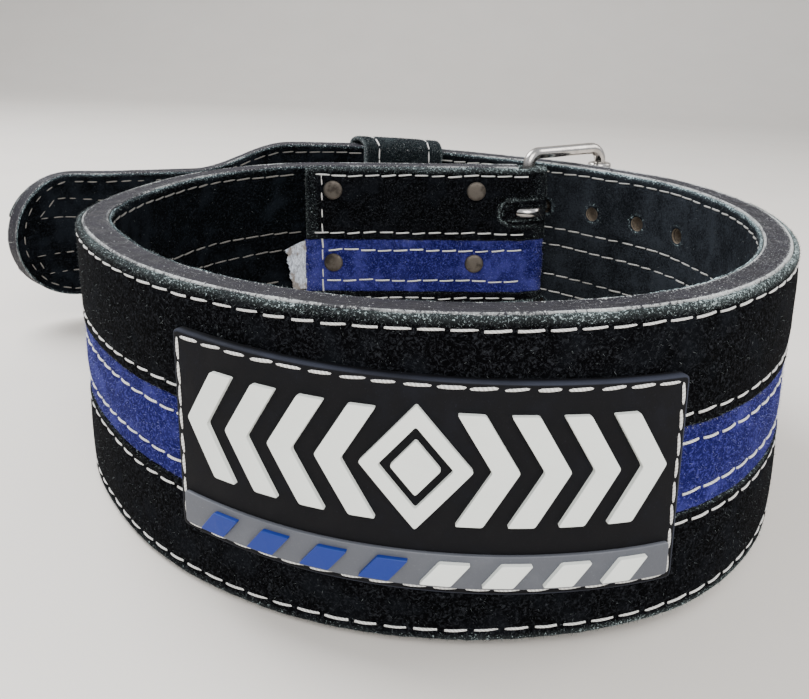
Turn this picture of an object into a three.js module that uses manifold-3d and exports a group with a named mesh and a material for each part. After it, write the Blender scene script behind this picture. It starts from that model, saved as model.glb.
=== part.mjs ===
// A powerlifting belt, buckled into a waist loop. Millimetres, +Z up, the front of the belt towards -Y.
// One thick leather strip runs from the buckle, round the waist, out through the buckle frame and on
// to a free tongue. Suede faces it outside and lines it inside, and the outer suede turns round the
// heel bar of the buckle and comes back on the inside as a riveted flap.
import * as THREE from "three";
import { mergeVertices } from "three/addons/utils/BufferGeometryUtils.js";
import Module from "manifold-3d";

const wasm = await Module();
wasm.setup();

// The strip and its layers
const BELT_WIDTH = 100;
const CORE_THICKNESS = 9.6;
const FACING_THICKNESS = 1.8;
const LINING_THICKNESS = 1.1;
const STRIPE_THICKNESS = 1.3;
const GAP = 0.3;
const SKIN_INSET = 0.6; // how far the suede stops short of the leather's edge
const EDGE_ROUNDING = 1.8;
// The round outer edge: depth is a share of the suede's thickness, back a share of the rounding
const EDGE_SECTION = [{ depth: 1, back: 1 }, { depth: 0.66, back: 0.3 }, { depth: 0, back: 0 }];
const FACET = 13; // longest step along the strip
const FOLD_FACET = 2.5; // and where the suede turns round the heel bar
const FINE_STEP = 1; // for measuring along the strip
const SAME_PLACE = 1e-4;

// The blue stripe shows between the two black bands of the facing
const STRIPE_WIDTH = 28;
const STRIPE_DROP = 1.7; // how far its middle lies below the middle of the strip

// Middle of the leather seen from above, from the heel bar once round the waist and on to the tongue.
// across is a share of half the loop's width, deep a share of half its depth.
const LOOP_WIDTH = 259;
const LOOP_DEPTH = 224;
const MIDDLE_LINE = [
  { across: 0.45, deep: 1.0 }, { across: 0.13, deep: 1.0 }, { across: -0.19, deep: 1.0 },
  { across: -0.53, deep: 0.97 }, { across: -0.8, deep: 0.74 }, { across: -0.95, deep: 0.38 },
  { across: -0.985, deep: -0.03 }, { across: -0.83, deep: -0.41 }, { across: -0.575, deep: -0.735 },
  { across: -0.22, deep: -0.95 }, { across: 0.19, deep: -0.99 }, { across: 0.59, deep: -0.84 },
  { across: 0.88, deep: -0.456 }, { across: 1.0, deep: 0.057 }, { across: 0.915, deep: 0.604 },
  { across: 0.6, deep: 1.06 }, { across: 0.26, deep: 1.325 }, { across: -0.12, deep: 1.56 },
  { across: -0.54, deep: 1.645 }, { across: -0.97, deep: 1.55 }, { across: -1.371, deep: 1.443 },
  { across: -1.58, deep: 1.404 }, { across: -1.951, deep: 0.932 },
];

// The tongue, measured along the strip from the prong holes in use
const TONGUE_LENGTH = 320.4;
const TONGUE_WIDTH = 71.3;
const SHOULDER_START = 162;
const SHOULDER_LENGTH = 55;

// Buckle
const WIRE = 6;
const PRONG_WIRE = 5.4;
const ROLLER = 12;
const ROLLER_LENGTH = 96;
const FRAME_REACH = 48; // heel bar to roller bar
const FRAME_CLEARANCE = 3; // each arm to the edge of the strip
const ROLLER_CORNER = 7;
const HEEL_SET = 4.4; // heel bar in from the middle of the fold, which is a loose one
const PRONG_LEAD = 4.6; // the prongs lean this far along the strip, toward the waist
const PRONG_OVERRUN = 6; // past the roller's middle
const EYE_SLACK = 1; // how much wider each prong's eye is than the heel bar needs
const PRONG_SPREAD = 27; // each prong from the middle of the strip
const SLOT_HEIGHT = 10;
const SLOT_LENGTH = 18.5; // from the fold along the strip
const SLOT_BEHIND = 6.4; // and the other way, through the suede that turns round the bar
const SLOT_DEEP = 9.3; // inward from the middle of the strip
const SLOT_OUT = 7.5; // and outward
const FOLD_RUN = 10; // where the leather ends and the suede closes on the heel bar

// Prong holes: pairs across the strip
const HOLE = 7;
const HOLE_PITCH = 28;
const HOLE_SIDES = 10;
const HOLES_BEFORE = 3; // pairs between the buckle and the waist
const HOLES_AFTER = 4; // pairs on the tongue side

// Flap and rivets, from the heel bar
const FLAP_LENGTH = 118.8;
const STRIPE_END_LENGTH = 14; // the stripe runs on past the flap
const RIVET_COLUMNS = [31.5, 104];
const RIVET_ROW_SPREAD = 38;
const RIVET_CAP = 9.6;
const RIVET_CAP_HEIGHT = 1.3;
const RIVET_SHANK = 4;
// Half section of a cap, from its rim to its top: radius and height are shares of the cap's own
const CAP_SECTION = [{ radius: 1, height: 0 }, { radius: 1, height: 0.3 }, { radius: 0.6, height: 0.85 }, { radius: 0, height: 1 }];

// Keeper
const KEEPER_PLACE = 95.3; // from the prong holes in use to its middle
const KEEPER_WIDTH = 50;
const KEEPER_THICKNESS = 2.6;
const KEEPER_SKEW = 11; // how much further along its outer side has slid than its inner side
const KEEPER_RISE = 3; // height of the arch inside, above its straight sides
const KEEPER_DROP = 1; // its straight sides end this far short of the strip's edge

// Rubber patch on the front and its raised pattern
const PATCH_WIDTH = 143.2;
const PATCH_HEIGHT = 64;
const PATCH_SHIFT = -15; // along the strip from the foremost point
const PATCH_LIFT = 1.5; // its middle above the middle of the strip
const PATCH_SLOPE = -0.042; // its right end hangs a little lower
const PATCH_THICKNESS = 3;
const PATCH_MARGIN = 6;
const BAND_HEIGHT = 13;
const BAND_RELIEF = 0.9;
const BAND_INSET = 2.6;
const PATTERN_RELIEF = 1.2;
const CHEVRON_HEIGHT = 33;
const CHEVRON_PITCH = 13.2;
const CHEVRON_LIMB = 7;
const CHEVRON_POINT = 9;
const CHEVRONS_A_SIDE = 4;
const DIAMOND_HEIGHT = 37;
const DIAMOND_WIDTH = 29;
const DIAMOND_LIMB = 5;
const DIAMOND_HEART_GAP = 3;
const SLASH_COUNT = 8;
const SLASH_WIDTH = 8;
const SLASH_LEAN = 5;
const SLASH_FOOT = 4;
const SLASH_TOP = 11;

const MID = BELT_WIDTH / 2;
const CORE_FACE = CORE_THICKNESS / 2;
const FACING_IN = CORE_FACE + GAP;
const FACING_OUT = FACING_IN + FACING_THICKNESS;
const LINING_OUT = -CORE_FACE - GAP;
const LINING_IN = LINING_OUT - LINING_THICKNESS;
const FLAP_OUT = LINING_IN - GAP;
const FLAP_IN = FLAP_OUT - FACING_THICKNESS;
const STRIPE_MID = MID - STRIPE_DROP;
const UP = new THREE.Vector3(0, 0, 1);

const middleLine = new THREE.CatmullRomCurve3(
  MIDDLE_LINE.map(({ across, deep }) => new THREE.Vector3(across * LOOP_WIDTH / 2, deep * LOOP_DEPTH / 2, 0)),
  false,
  "centripetal",
);
middleLine.arcLengthDivisions = 2000;
const LINE_LENGTH = middleLine.getLength();

// Place, direction and outward normal at a distance along the strip
function along(s) {
  const share = THREE.MathUtils.clamp(s / LINE_LENGTH, 0, 1);
  const place = middleLine.getPointAt(share);
  const direction = middleLine.getTangentAt(share);
  return { place, direction, outward: new THREE.Vector3(direction.y, -direction.x, 0) };
}

// A point on the strip: s along it, height above its lower edge, out from its middle
function onStrip(s, height, out) {
  const { place, outward } = along(s);
  return place.addScaledVector(outward, out).setZ(height);
}

function steps(from, to, pitch = FACET) {
  const count = Math.max(1, Math.ceil(Math.abs(to - from) / pitch));
  return Array.from({ length: count + 1 }, (_, i) => from + ((to - from) * i) / count);
}

// Solids

function signedVolume(geometry) {
  const p = geometry.getAttribute("position");
  const index = geometry.getIndex();
  const corner = (i) => new THREE.Vector3().fromBufferAttribute(p, index ? index.getX(i) : i);
  let sum = 0;
  for (let i = 0; i < (index ? index.count : p.count); i += 3) {
    sum += corner(i).dot(corner(i + 1).cross(corner(i + 2))) / 6;
  }
  return sum;
}

function solid(points, triangles) {
  const geometry = new THREE.BufferGeometry();
  geometry.setAttribute("position", new THREE.Float32BufferAttribute(points.flatMap((p) => p.toArray()), 3));
  geometry.setIndex(triangles.flat());
  if (signedVolume(geometry) < 0) {
    geometry.setIndex(triangles.flatMap(([a, b, c]) => [a, c, b]));
  }
  return geometry;
}

// Skins a row of sections, each a ring of as many points, with its ends capped or joined
function loft(sections, closed = false) {
  const ring = sections[0].length;
  const triangles = [];
  const last = closed ? sections.length : sections.length - 1;
  for (let i = 0; i < last; i += 1) {
    const next = (i + 1) % sections.length;
    for (let j = 0; j < ring; j += 1) {
      const k = (j + 1) % ring;
      const [a, b, c, d] = [i * ring + j, i * ring + k, next * ring + k, next * ring + j];
      triangles.push([a, b, c], [a, c, d]);
    }
  }
  if (!closed) {
    const far = (sections.length - 1) * ring;
    for (let j = 1; j < ring - 1; j += 1) {
      triangles.push([0, j + 1, j], [far, far + j, far + j + 1]);
    }
  }
  return solid(sections.flat(), triangles);
}

function toManifold(geometry) {
  const bare = geometry.clone();
  bare.deleteAttribute("normal");
  bare.deleteAttribute("uv");
  const merged = mergeVertices(bare, SAME_PLACE);
  return new wasm.Manifold(new wasm.Mesh({
    numProp: 3,
    vertProperties: Float32Array.from(merged.getAttribute("position").array),
    triVerts: Uint32Array.from(merged.getIndex().array),
  }));
}

function cut(geometry, cutters) {
  return fromManifold(cutters.reduce((left, cutter) => left.subtract(toManifold(cutter)), toManifold(geometry)));
}

function fromManifold(body) {
  const { vertProperties, triVerts } = body.getMesh();
  const result = new THREE.BufferGeometry();
  result.setAttribute("position", new THREE.Float32BufferAttribute(vertProperties, 3));
  result.setIndex(Array.from(triVerts));
  return result;
}

// A cylinder across the strip, square to it unless a way is given
function pegAcross(s, height, diameter, sides = HOLE_SIDES, way = along(s).outward) {
  const peg = new THREE.CylinderGeometry(diameter / 2, diameter / 2, 4 * FACING_OUT, sides);
  return turnOutward(peg, s, height, way);
}

// Turns a shape made along +Y so that +Y points outward, and sets it on the middle of the strip
function turnOutward(geometry, s, height, outward = along(s).outward) {
  geometry.applyQuaternion(new THREE.Quaternion().setFromUnitVectors(new THREE.Vector3(0, 1, 0), outward));
  const { x, y, z } = onStrip(s, height, 0);
  return geometry.translate(x, y, z);
}

// A round wire along a flat path, where across is the normal of the path's plane
function wire(path, across, diameter, { closed = false, widths = [], sides = 8 } = {}) {
  const sections = path.map((point, i) => {
    const before = path[closed ? (i + path.length - 1) % path.length : Math.max(i - 1, 0)];
    const after = path[closed ? (i + 1) % path.length : Math.min(i + 1, path.length - 1)];
    const side = after.clone().sub(before).normalize().cross(across);
    return Array.from({ length: sides }, (_, j) => {
      const turn = (2 * Math.PI * j) / sides;
      const radius = (diameter / 2) * (widths[i] ?? 1);
      return point.clone()
        .addScaledVector(across, radius * Math.cos(turn))
        .addScaledVector(side, radius * Math.sin(turn));
    });
  });
  return loft(sections, closed);
}

// Where the buckle stands

// The heel bar lies a little way in from the middle of the fold. The prongs lean from it toward the
// waist: this finds the place along the strip whose outward normal runs through the heel bar.
const FOLD = along(0).place;
const HEEL_BAR = along(HEEL_SET).place;
function facingTheBar() {
  let [low, high] = [0.6 * LINE_LENGTH, 0.85 * LINE_LENGTH];
  while (high - low > SAME_PLACE) {
    const s = (low + high) / 2;
    const { place, direction } = along(s);
    if (place.sub(HEEL_BAR).dot(direction) < 0) low = s;
    else high = s;
  }
  return low;
}
const PRONGS_AT = facingTheBar() - PRONG_LEAD;
const STRIP_END = PRONGS_AT + TONGUE_LENGTH;
const PRONG_REACH = along(PRONGS_AT).place.sub(HEEL_BAR).normalize();

// The frame lies a little to one side of the prongs, so that their tips rest against its roller
const FRAME_TURN = Math.asin((ROLLER / 2 + GAP + PRONG_WIRE / 2) / FRAME_REACH);
const REACH = PRONG_REACH.clone().applyAxisAngle(UP, -FRAME_TURN);
const ASIDE = UP.clone().cross(REACH);

// Half the strip's width: full round the waist, narrower past the shoulder, then the round tip
function halfWidth(s) {
  const shoulder = THREE.MathUtils.smoothstep(s - PRONGS_AT, SHOULDER_START, SHOULDER_START + SHOULDER_LENGTH);
  const straight = THREE.MathUtils.lerp(BELT_WIDTH, TONGUE_WIDTH, shoulder) / 2;
  const tip = TONGUE_WIDTH / 2;
  const toEnd = STRIP_END - s;
  return toEnd < tip ? Math.sqrt(tip ** 2 - (tip - toEnd) ** 2) : straight;
}

// Stations from a start to the tip, ending where the tip's half width comes down to least
function stationsToTip(start, least) {
  const tip = TONGUE_WIDTH / 2;
  const turns = steps(Math.PI / 2, Math.asin(least / tip), Math.PI / 14);
  const round = turns.map((turn) => STRIP_END - tip * (1 - Math.cos(turn)));
  const stops = [start, FLAP_LENGTH, FLAP_LENGTH + STRIPE_END_LENGTH, STRIP_END - tip];
  return [...stops.slice(1).flatMap((stop, i) => steps(stops[i], stop).slice(0, -1)), ...round];
}

// Layers of the strip

const TIP_LEFT = 3; // half width of the blunt end that closes each layer's tip

function layerHeights(s, low, high, inset) {
  return [Math.max(low, MID - halfWidth(s) + inset), Math.min(high, MID + halfWidth(s) - inset)];
}

function leatherCore() {
  const sections = stationsToTip(FOLD_RUN, TIP_LEFT).map((s) => {
    const [low, high] = layerHeights(s, 0, BELT_WIDTH, 0);
    return [
      onStrip(s, low, -CORE_FACE), onStrip(s, low, CORE_FACE),
      onStrip(s, high, CORE_FACE), onStrip(s, high, -CORE_FACE),
    ];
  });
  return cut(loft(sections), [...prongHoles(), ...rivetHoles(), ...prongSlots()]);
}

function suedeLining() {
  const sections = stationsToTip(FOLD_RUN, TIP_LEFT).map((s) => {
    const [low, high] = layerHeights(s, 0, BELT_WIDTH, SKIN_INSET);
    return [
      onStrip(s, low, LINING_IN), onStrip(s, low, LINING_OUT),
      onStrip(s, high, LINING_OUT), onStrip(s, high, LINING_IN),
    ];
  });
  return cut(loft(sections), [...prongHoles(), ...rivetHoles(), ...prongSlots()]);
}

// Section places of the outer suede from the flap's end, round the heel bar and on to the tip.
// Each has the distance along the strip, and the points of its inner and its visible side.
function facingPlaces(thickness, flapEnd, tipLeft) {
  const wrap = WIRE / 2 + GAP;
  const closing = (s, open) => THREE.MathUtils.lerp(wrap, open, THREE.MathUtils.smoothstep(s, 0, FOLD_RUN));
  const place = (s, inner, visible) => ({ s, inner: onStrip(s, 0, inner), visible: onStrip(s, 0, visible) });
  const nearBar = steps(0, FOLD_RUN, FOLD_FACET);
  const stations = stationsToTip(FOLD_RUN, tipLeft).slice(1);
  const flap = [...stations.filter((s) => s <= flapEnd).toReversed(), ...nearBar.toReversed()].map((s) => {
    const inner = closing(s, -FLAP_OUT);
    return place(s, -inner, -inner - thickness);
  });
  const { direction, outward } = along(0);
  const turns = steps(0, Math.PI, Math.PI / 8).slice(1, -1).map((turn) => {
    const ray = outward.clone().multiplyScalar(-Math.cos(turn)).addScaledVector(direction, -Math.sin(turn));
    return {
      s: 0,
      inner: FOLD.clone().addScaledVector(ray, wrap),
      visible: FOLD.clone().addScaledVector(ray, wrap + thickness),
    };
  });
  const outside = [...nearBar, ...stations].map((s) => {
    const inner = closing(s, FACING_IN);
    return place(s, inner, inner + thickness);
  });
  return [...flap, ...turns, ...outside];
}

// One black band of the facing: side is 1 for the upper, -1 for the lower, and its outer edge is round
function facingBand(side) {
  const nearEdge = STRIPE_MID + side * (STRIPE_WIDTH + GAP) / 2;
  const least = side * (nearEdge - MID) + SKIN_INSET + EDGE_ROUNDING + GAP;
  const sections = facingPlaces(FACING_THICKNESS, FLAP_LENGTH, least).map(({ s, inner, visible }) => {
    const farEdge = MID + side * (halfWidth(s) - SKIN_INSET);
    const corner = (share, height) => inner.clone().lerp(visible, share).setZ(height);
    return [
      corner(0, nearEdge), corner(1, nearEdge),
      ...EDGE_SECTION.map(({ depth, back }) => corner(depth, farEdge - side * EDGE_ROUNDING * back)),
    ];
  });
  return cut(loft(sections), [...prongHoles(), ...rivetHoles(), ...prongSlots()]);
}

function blueStripe() {
  const edges = [STRIPE_MID - (STRIPE_WIDTH - GAP) / 2, STRIPE_MID + (STRIPE_WIDTH - GAP) / 2];
  const least = STRIPE_WIDTH / 2 + STRIPE_DROP + GAP;
  const places = facingPlaces(STRIPE_THICKNESS, FLAP_LENGTH + STRIPE_END_LENGTH, least);
  const sections = places.map(({ inner, visible }) => [
    inner.clone().setZ(edges[0]), visible.clone().setZ(edges[0]),
    visible.clone().setZ(edges[1]), inner.clone().setZ(edges[1]),
  ]);
  return cut(loft(sections), rivetHoles());
}

// Holes through the layers

const PRONG_HEIGHTS = [MID + PRONG_SPREAD, MID - PRONG_SPREAD];
const HOLE_PLACES = Array.from(
  { length: HOLES_BEFORE + 1 + HOLES_AFTER },
  (_, i) => PRONGS_AT + (i - HOLES_BEFORE) * HOLE_PITCH,
);
const RIVET_HEIGHTS = [MID + RIVET_ROW_SPREAD, MID, MID - RIVET_ROW_SPREAD];

// The pair in use is drawn askew by the leaning prongs
function prongHoles() {
  return HOLE_PLACES.flatMap((s) => {
    const way = s === PRONGS_AT ? PRONG_REACH : along(s).outward;
    return PRONG_HEIGHTS.map((height) => pegAcross(s, height, HOLE, HOLE_SIDES, way));
  });
}

function rivetHoles() {
  return RIVET_COLUMNS.flatMap((s) => RIVET_HEIGHTS.map((height) => pegAcross(s, height, RIVET_SHANK + 2 * GAP, 8)));
}

// The fold is slotted round the heel bar where each prong's eye sits
function prongSlots() {
  const { direction } = along(0);
  return PRONG_HEIGHTS.map((height) => {
    const slot = new THREE.BoxGeometry(SLOT_LENGTH + SLOT_BEHIND, SLOT_OUT + SLOT_DEEP, SLOT_HEIGHT);
    slot.translate((SLOT_LENGTH - SLOT_BEHIND) / 2, (SLOT_DEEP - SLOT_OUT) / 2, 0);
    slot.rotateZ(Math.atan2(direction.y, direction.x));
    return slot.translate(FOLD.x, FOLD.y, height);
  });
}

// Buckle

// Frame: heel bar, two arms and roller bar in one plane that stands out from the strip
function buckleFrame() {
  const half = MID + FRAME_CLEARANCE + WIRE / 2;
  const heelCorner = FRAME_CLEARANCE + WIRE / 2;
  const corners = [
    { reach: 0, rise: half, radius: heelCorner, from: Math.PI },
    { reach: FRAME_REACH, rise: half, radius: ROLLER_CORNER, from: Math.PI / 2 },
    { reach: FRAME_REACH, rise: -half, radius: ROLLER_CORNER, from: 0 },
    { reach: 0, rise: -half, radius: heelCorner, from: -Math.PI / 2 },
  ];
  const path = corners.flatMap(({ reach, rise, radius, from }) => {
    const centre = [reach === 0 ? radius : reach - radius, rise - Math.sign(rise) * radius];
    return steps(from, from - Math.PI / 2, Math.PI / 8).map((turn) => HEEL_BAR.clone()
      .addScaledVector(REACH, centre[0] + radius * Math.cos(turn))
      .setZ(MID + centre[1] + radius * Math.sin(turn)));
  });
  return wire(path, ASIDE, WIRE, { closed: true });
}

function roller() {
  const [bore, rim, end] = [WIRE / 2 + GAP, ROLLER / 2, ROLLER_LENGTH / 2];
  const chamfer = WIRE / 10;
  const profile = [
    [bore, -end], [rim - chamfer, -end], [rim, -end + chamfer],
    [rim, end - chamfer], [rim - chamfer, end], [bore, end], [bore, -end],
  ].map(([radius, height]) => new THREE.Vector2(radius, height));
  const place = HEEL_BAR.clone().addScaledVector(REACH, FRAME_REACH);
  return new THREE.LatheGeometry(profile, 16).rotateX(Math.PI / 2).translate(place.x, place.y, MID);
}

// Prong: an eye round the heel bar and a straight shank through its hole to the roller
function prong(height) {
  const eyeRadius = WIRE / 2 + GAP + EYE_SLACK + PRONG_WIRE / 2;
  const centre = HEEL_BAR.clone().addScaledVector(PRONG_REACH, -EYE_SLACK).setZ(height);
  const turns = steps(0, 2 * Math.PI, Math.PI / 8).slice(1);
  const side = UP.clone().cross(PRONG_REACH);
  const eye = wire(turns.map((turn) => centre.clone()
    .addScaledVector(PRONG_REACH, eyeRadius * Math.cos(turn))
    .addScaledVector(side, eyeRadius * Math.sin(turn))), UP, PRONG_WIRE, { closed: true });
  const length = EYE_SLACK + FRAME_REACH * Math.cos(FRAME_TURN) + PRONG_OVERRUN;
  const taper = [
    { reach: eyeRadius / length, width: 0.8 }, { reach: 0.8, width: 1 }, { reach: 0.93, width: 0.92 },
    { reach: 0.98, width: 0.7 }, { reach: 1, width: 0.35 },
  ];
  const path = taper.map(({ reach }) => centre.clone().addScaledVector(PRONG_REACH, length * reach));
  const shank = wire(path, UP, PRONG_WIRE, { widths: taper.map(({ width }) => width) });
  return fromManifold(toManifold(eye).add(toManifold(shank)));
}

// Rivet: a shank through flap, lining, leather and facing with a low domed cap at each end.
// On the stripe's row the caps sit on the thinner stripe.
function rivet(s, height) {
  const skin = height === MID ? STRIPE_THICKNESS : FACING_THICKNESS;
  const [inside, outside] = [FLAP_OUT - skin - GAP, FACING_IN + skin + GAP];
  const [cap, shank] = [RIVET_CAP / 2, RIVET_SHANK / 2];
  const capFrom = (face, side) => CAP_SECTION
    .map(({ radius, height: rise }) => new THREE.Vector2(cap * radius, face + side * RIVET_CAP_HEIGHT * rise));
  const profile = [
    ...capFrom(inside, -1).toReversed(), new THREE.Vector2(shank, inside),
    new THREE.Vector2(shank, outside), ...capFrom(outside, 1),
  ];
  return turnOutward(new THREE.LatheGeometry(profile, 10), s, height);
}

// Keeper: a suede loop round the tongue, arched over and under its edges
function keeper() {
  const middle = PRONGS_AT + KEEPER_PLACE;
  const lanes = steps(middle - KEEPER_WIDTH / 2, middle + KEEPER_WIDTH / 2);
  const [near, far] = [LINING_IN - GAP, FACING_OUT + GAP];
  const [centre, half] = [(near + far) / 2, (far - near) / 2];
  const straight = BELT_WIDTH / 2 - KEEPER_DROP;
  const arch = (thick) => [1, -1].flatMap((side) => steps(0, Math.PI, Math.PI / 6).map((turn) => ({
    out: centre + side * (half + thick) * Math.cos(turn),
    height: MID + side * (straight + (KEEPER_RISE + thick) * Math.sin(turn)),
  })));
  const slid = (out) => KEEPER_SKEW * (out - centre) / (far - near);
  const [inner, outer] = [arch(0), arch(KEEPER_THICKNESS)];
  const sections = inner.map((point, i) => [
    ...lanes.map((s) => onStrip(s + slid(point.out), point.height, point.out)),
    ...lanes.toReversed().map((s) => onStrip(s + slid(outer[i].out), outer[i].height, outer[i].out)),
  ]);
  return loft(sections, true);
}

// Patch

const PATCH_MIDDLE = (() => {
  const front = steps(0, PRONGS_AT, FINE_STEP).reduce((best, s) => (along(s).place.y < along(best).place.y ? s : best));
  return front + PATCH_SHIFT;
})();
const PATCH_FACE = FACING_OUT + GAP + PATCH_THICKNESS;
const BAND_FACE = PATCH_FACE + GAP + BAND_RELIEF;
const PATCH_FOOT = MID + PATCH_LIFT - PATCH_HEIGHT / 2;

// A point over the patch: right from its middle, up from its lower edge, out from the strip's middle
function onPatch(right, up, out) {
  return onStrip(PATCH_MIDDLE + right, PATCH_FOOT + up + PATCH_SLOPE * right, out);
}

function patchSheet(low, high, width, back, face) {
  return loft(steps(-width / 2, width / 2).map((right) => [
    onPatch(right, low, back), onPatch(right, low, face), onPatch(right, high, face), onPatch(right, high, back),
  ]));
}

// A raised figure of the patch from its outline in the patch's own right and up
function figure(outline, back, hole) {
  const shape = new THREE.Shape(outline.map(([right, up]) => new THREE.Vector2(right, up)));
  if (hole) shape.holes.push(new THREE.Path(hole.map(([right, up]) => new THREE.Vector2(right, up))));
  const geometry = new THREE.ExtrudeGeometry(shape, { depth: PATTERN_RELIEF, bevelEnabled: false });
  const p = geometry.getAttribute("position");
  for (let i = 0; i < p.count; i += 1) {
    const { x, y, z } = onPatch(p.getX(i), p.getY(i), back + p.getZ(i));
    p.setXYZ(i, x, y, z);
  }
  geometry.deleteAttribute("normal");
  geometry.deleteAttribute("uv");
  return mergeVertices(geometry, SAME_PLACE);
}

const PATTERN_MID = (BAND_HEIGHT + PATCH_HEIGHT) / 2;

function diamondOutline(shrink) {
  const [right, up] = [DIAMOND_WIDTH / 2 - shrink, (DIAMOND_HEIGHT / 2 - shrink * DIAMOND_HEIGHT / DIAMOND_WIDTH)];
  return [[-right, PATTERN_MID], [0, PATTERN_MID - up], [right, PATTERN_MID], [0, PATTERN_MID + up]];
}

function chevronOutline(side, order) {
  const near = DIAMOND_WIDTH / 2 + order * CHEVRON_PITCH - CHEVRON_POINT / 2;
  const half = CHEVRON_HEIGHT / 2;
  return [
    [near, -half], [near + CHEVRON_LIMB, -half], [near + CHEVRON_LIMB + CHEVRON_POINT, 0],
    [near + CHEVRON_LIMB, half], [near, half], [near + CHEVRON_POINT, 0],
  ].map(([right, up]) => [side * right, PATTERN_MID + up]);
}

function slashOutline(order) {
  const pitch = (PATCH_WIDTH - 2 * PATCH_MARGIN - SLASH_LEAN) / SLASH_COUNT;
  const left = -PATCH_WIDTH / 2 + PATCH_MARGIN + (order + 0.5) * pitch - SLASH_WIDTH / 2;
  const right = left + SLASH_WIDTH;
  return [[left, SLASH_FOOT], [right, SLASH_FOOT], [right + SLASH_LEAN, SLASH_TOP], [left + SLASH_LEAN, SLASH_TOP]];
}

// Materials

const look = (color, roughness, metalness = 0) => new THREE.MeshStandardMaterial({ color, roughness, metalness });
const LEATHER = look(0x2b2b33, 0.55);
const BLACK_SUEDE = look(0x121216, 0.95);
const BLUE_SUEDE = look(0x3d3f9a, 0.95);
const KEEPER_SUEDE = look(0x2e3a3f, 0.95);
const CHROME = look(0xb8babd, 0.2, 1);
const RIVET_METAL = look(0x6f6760, 0.45, 1);
const BLACK_RUBBER = look(0x101012, 0.5);
const GREY_RUBBER = look(0x565b66, 0.5);
const WHITE_RUBBER = look(0xe4e6e2, 0.45);
const BLUE_RUBBER = look(0x1f4aa8, 0.45);

// The whole belt

const belt = new THREE.Group();

function add(name, geometry, material) {
  const mesh = new THREE.Mesh(geometry, material);
  mesh.name = name;
  belt.add(mesh);
}

add("leather_core", leatherCore(), LEATHER);
add("suede_lining", suedeLining(), BLACK_SUEDE);
add("facing_upper", facingBand(1), BLACK_SUEDE);
add("facing_lower", facingBand(-1), BLACK_SUEDE);
add("blue_stripe", blueStripe(), BLUE_SUEDE);
add("keeper_loop", keeper(), KEEPER_SUEDE);
add("buckle_frame", buckleFrame(), CHROME);
add("buckle_roller", roller(), CHROME);
add("prong_upper", prong(PRONG_HEIGHTS[0]), CHROME);
add("prong_lower", prong(PRONG_HEIGHTS[1]), CHROME);
RIVET_COLUMNS.forEach((s, column) => RIVET_HEIGHTS.forEach((height, row) => {
  add(`rivet_${column + 1}_${row + 1}`, rivet(s, height), RIVET_METAL);
}));
add("patch_panel", patchSheet(0, PATCH_HEIGHT, PATCH_WIDTH, FACING_OUT + GAP, PATCH_FACE), BLACK_RUBBER);
const bandWidth = PATCH_WIDTH - 2 * BAND_INSET;
add("patch_band", patchSheet(BAND_INSET, BAND_HEIGHT, bandWidth, PATCH_FACE + GAP, BAND_FACE), GREY_RUBBER);
add("diamond_ring", figure(diamondOutline(0), PATCH_FACE + GAP, diamondOutline(DIAMOND_LIMB)), WHITE_RUBBER);
add("diamond_heart", figure(diamondOutline(DIAMOND_LIMB + DIAMOND_HEART_GAP), PATCH_FACE + GAP), WHITE_RUBBER);
for (let order = 0; order < CHEVRONS_A_SIDE; order += 1) {
  add(`chevron_left_${order + 1}`, figure(chevronOutline(-1, order), PATCH_FACE + GAP), WHITE_RUBBER);
  add(`chevron_right_${order + 1}`, figure(chevronOutline(1, order), PATCH_FACE + GAP), WHITE_RUBBER);
}
for (let order = 0; order < SLASH_COUNT; order += 1) {
  const color = order < SLASH_COUNT / 2 ? BLUE_RUBBER : WHITE_RUBBER;
  add(`slash_${order + 1}`, figure(slashOutline(order), BAND_FACE + GAP), color);
}

// The belt on its table: the buckle reaches lower than the leather, so the belt leans a little.
// Of all planes that lie below it, it settles on the one that is highest under its centre of mass.
function lowCorners() {
  const found = new Map();
  belt.traverse((mesh) => {
    const p = mesh.geometry?.getAttribute("position");
    for (let i = 0; p && i < p.count; i += 1) {
      const corner = new THREE.Vector3().fromBufferAttribute(p, i);
      const cell = `${Math.round(corner.x / FACET)},${Math.round(corner.y / FACET)}`;
      if (corner.z < MID / 4 && !(found.get(cell)?.z <= corner.z)) found.set(cell, corner);
    }
  });
  return [...found.values()];
}

function restingPlane(corners, centre) {
  let best = { height: -Infinity, normal: UP };
  for (let i = 0; i < corners.length; i += 1) {
    for (let j = i + 1; j < corners.length; j += 1) {
      for (let k = j + 1; k < corners.length; k += 1) {
        const normal = new THREE.Plane().setFromCoplanarPoints(corners[i], corners[j], corners[k]).normal;
        if (Math.abs(normal.z) < 0.9) continue;
        normal.multiplyScalar(Math.sign(normal.z));
        const level = normal.dot(corners[i]);
        const height = (level - normal.x * centre.x - normal.y * centre.y) / normal.z;
        if (height > best.height && corners.every((corner) => normal.dot(corner) > level - SAME_PLACE)) {
          best = { height, normal };
        }
      }
    }
  }
  return best.normal;
}

const evenly = steps(0, STRIP_END - FINE_STEP);
const whole = evenly.reduce((sum, s) => sum + halfWidth(s), 0);
const middleOfMass = evenly
  .reduce((sum, s) => sum.addScaledVector(along(s).place, halfWidth(s) / whole), new THREE.Vector3());
belt.quaternion.setFromUnitVectors(restingPlane(lowCorners(), middleOfMass), UP);

// The origin is the middle of the belt's box, on the table
belt.updateMatrixWorld(true);
const box = new THREE.Box3().setFromObject(belt, true);
const middle = box.getCenter(new THREE.Vector3());
belt.position.set(-middle.x, -middle.y, -box.min.z);

export default belt;
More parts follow.
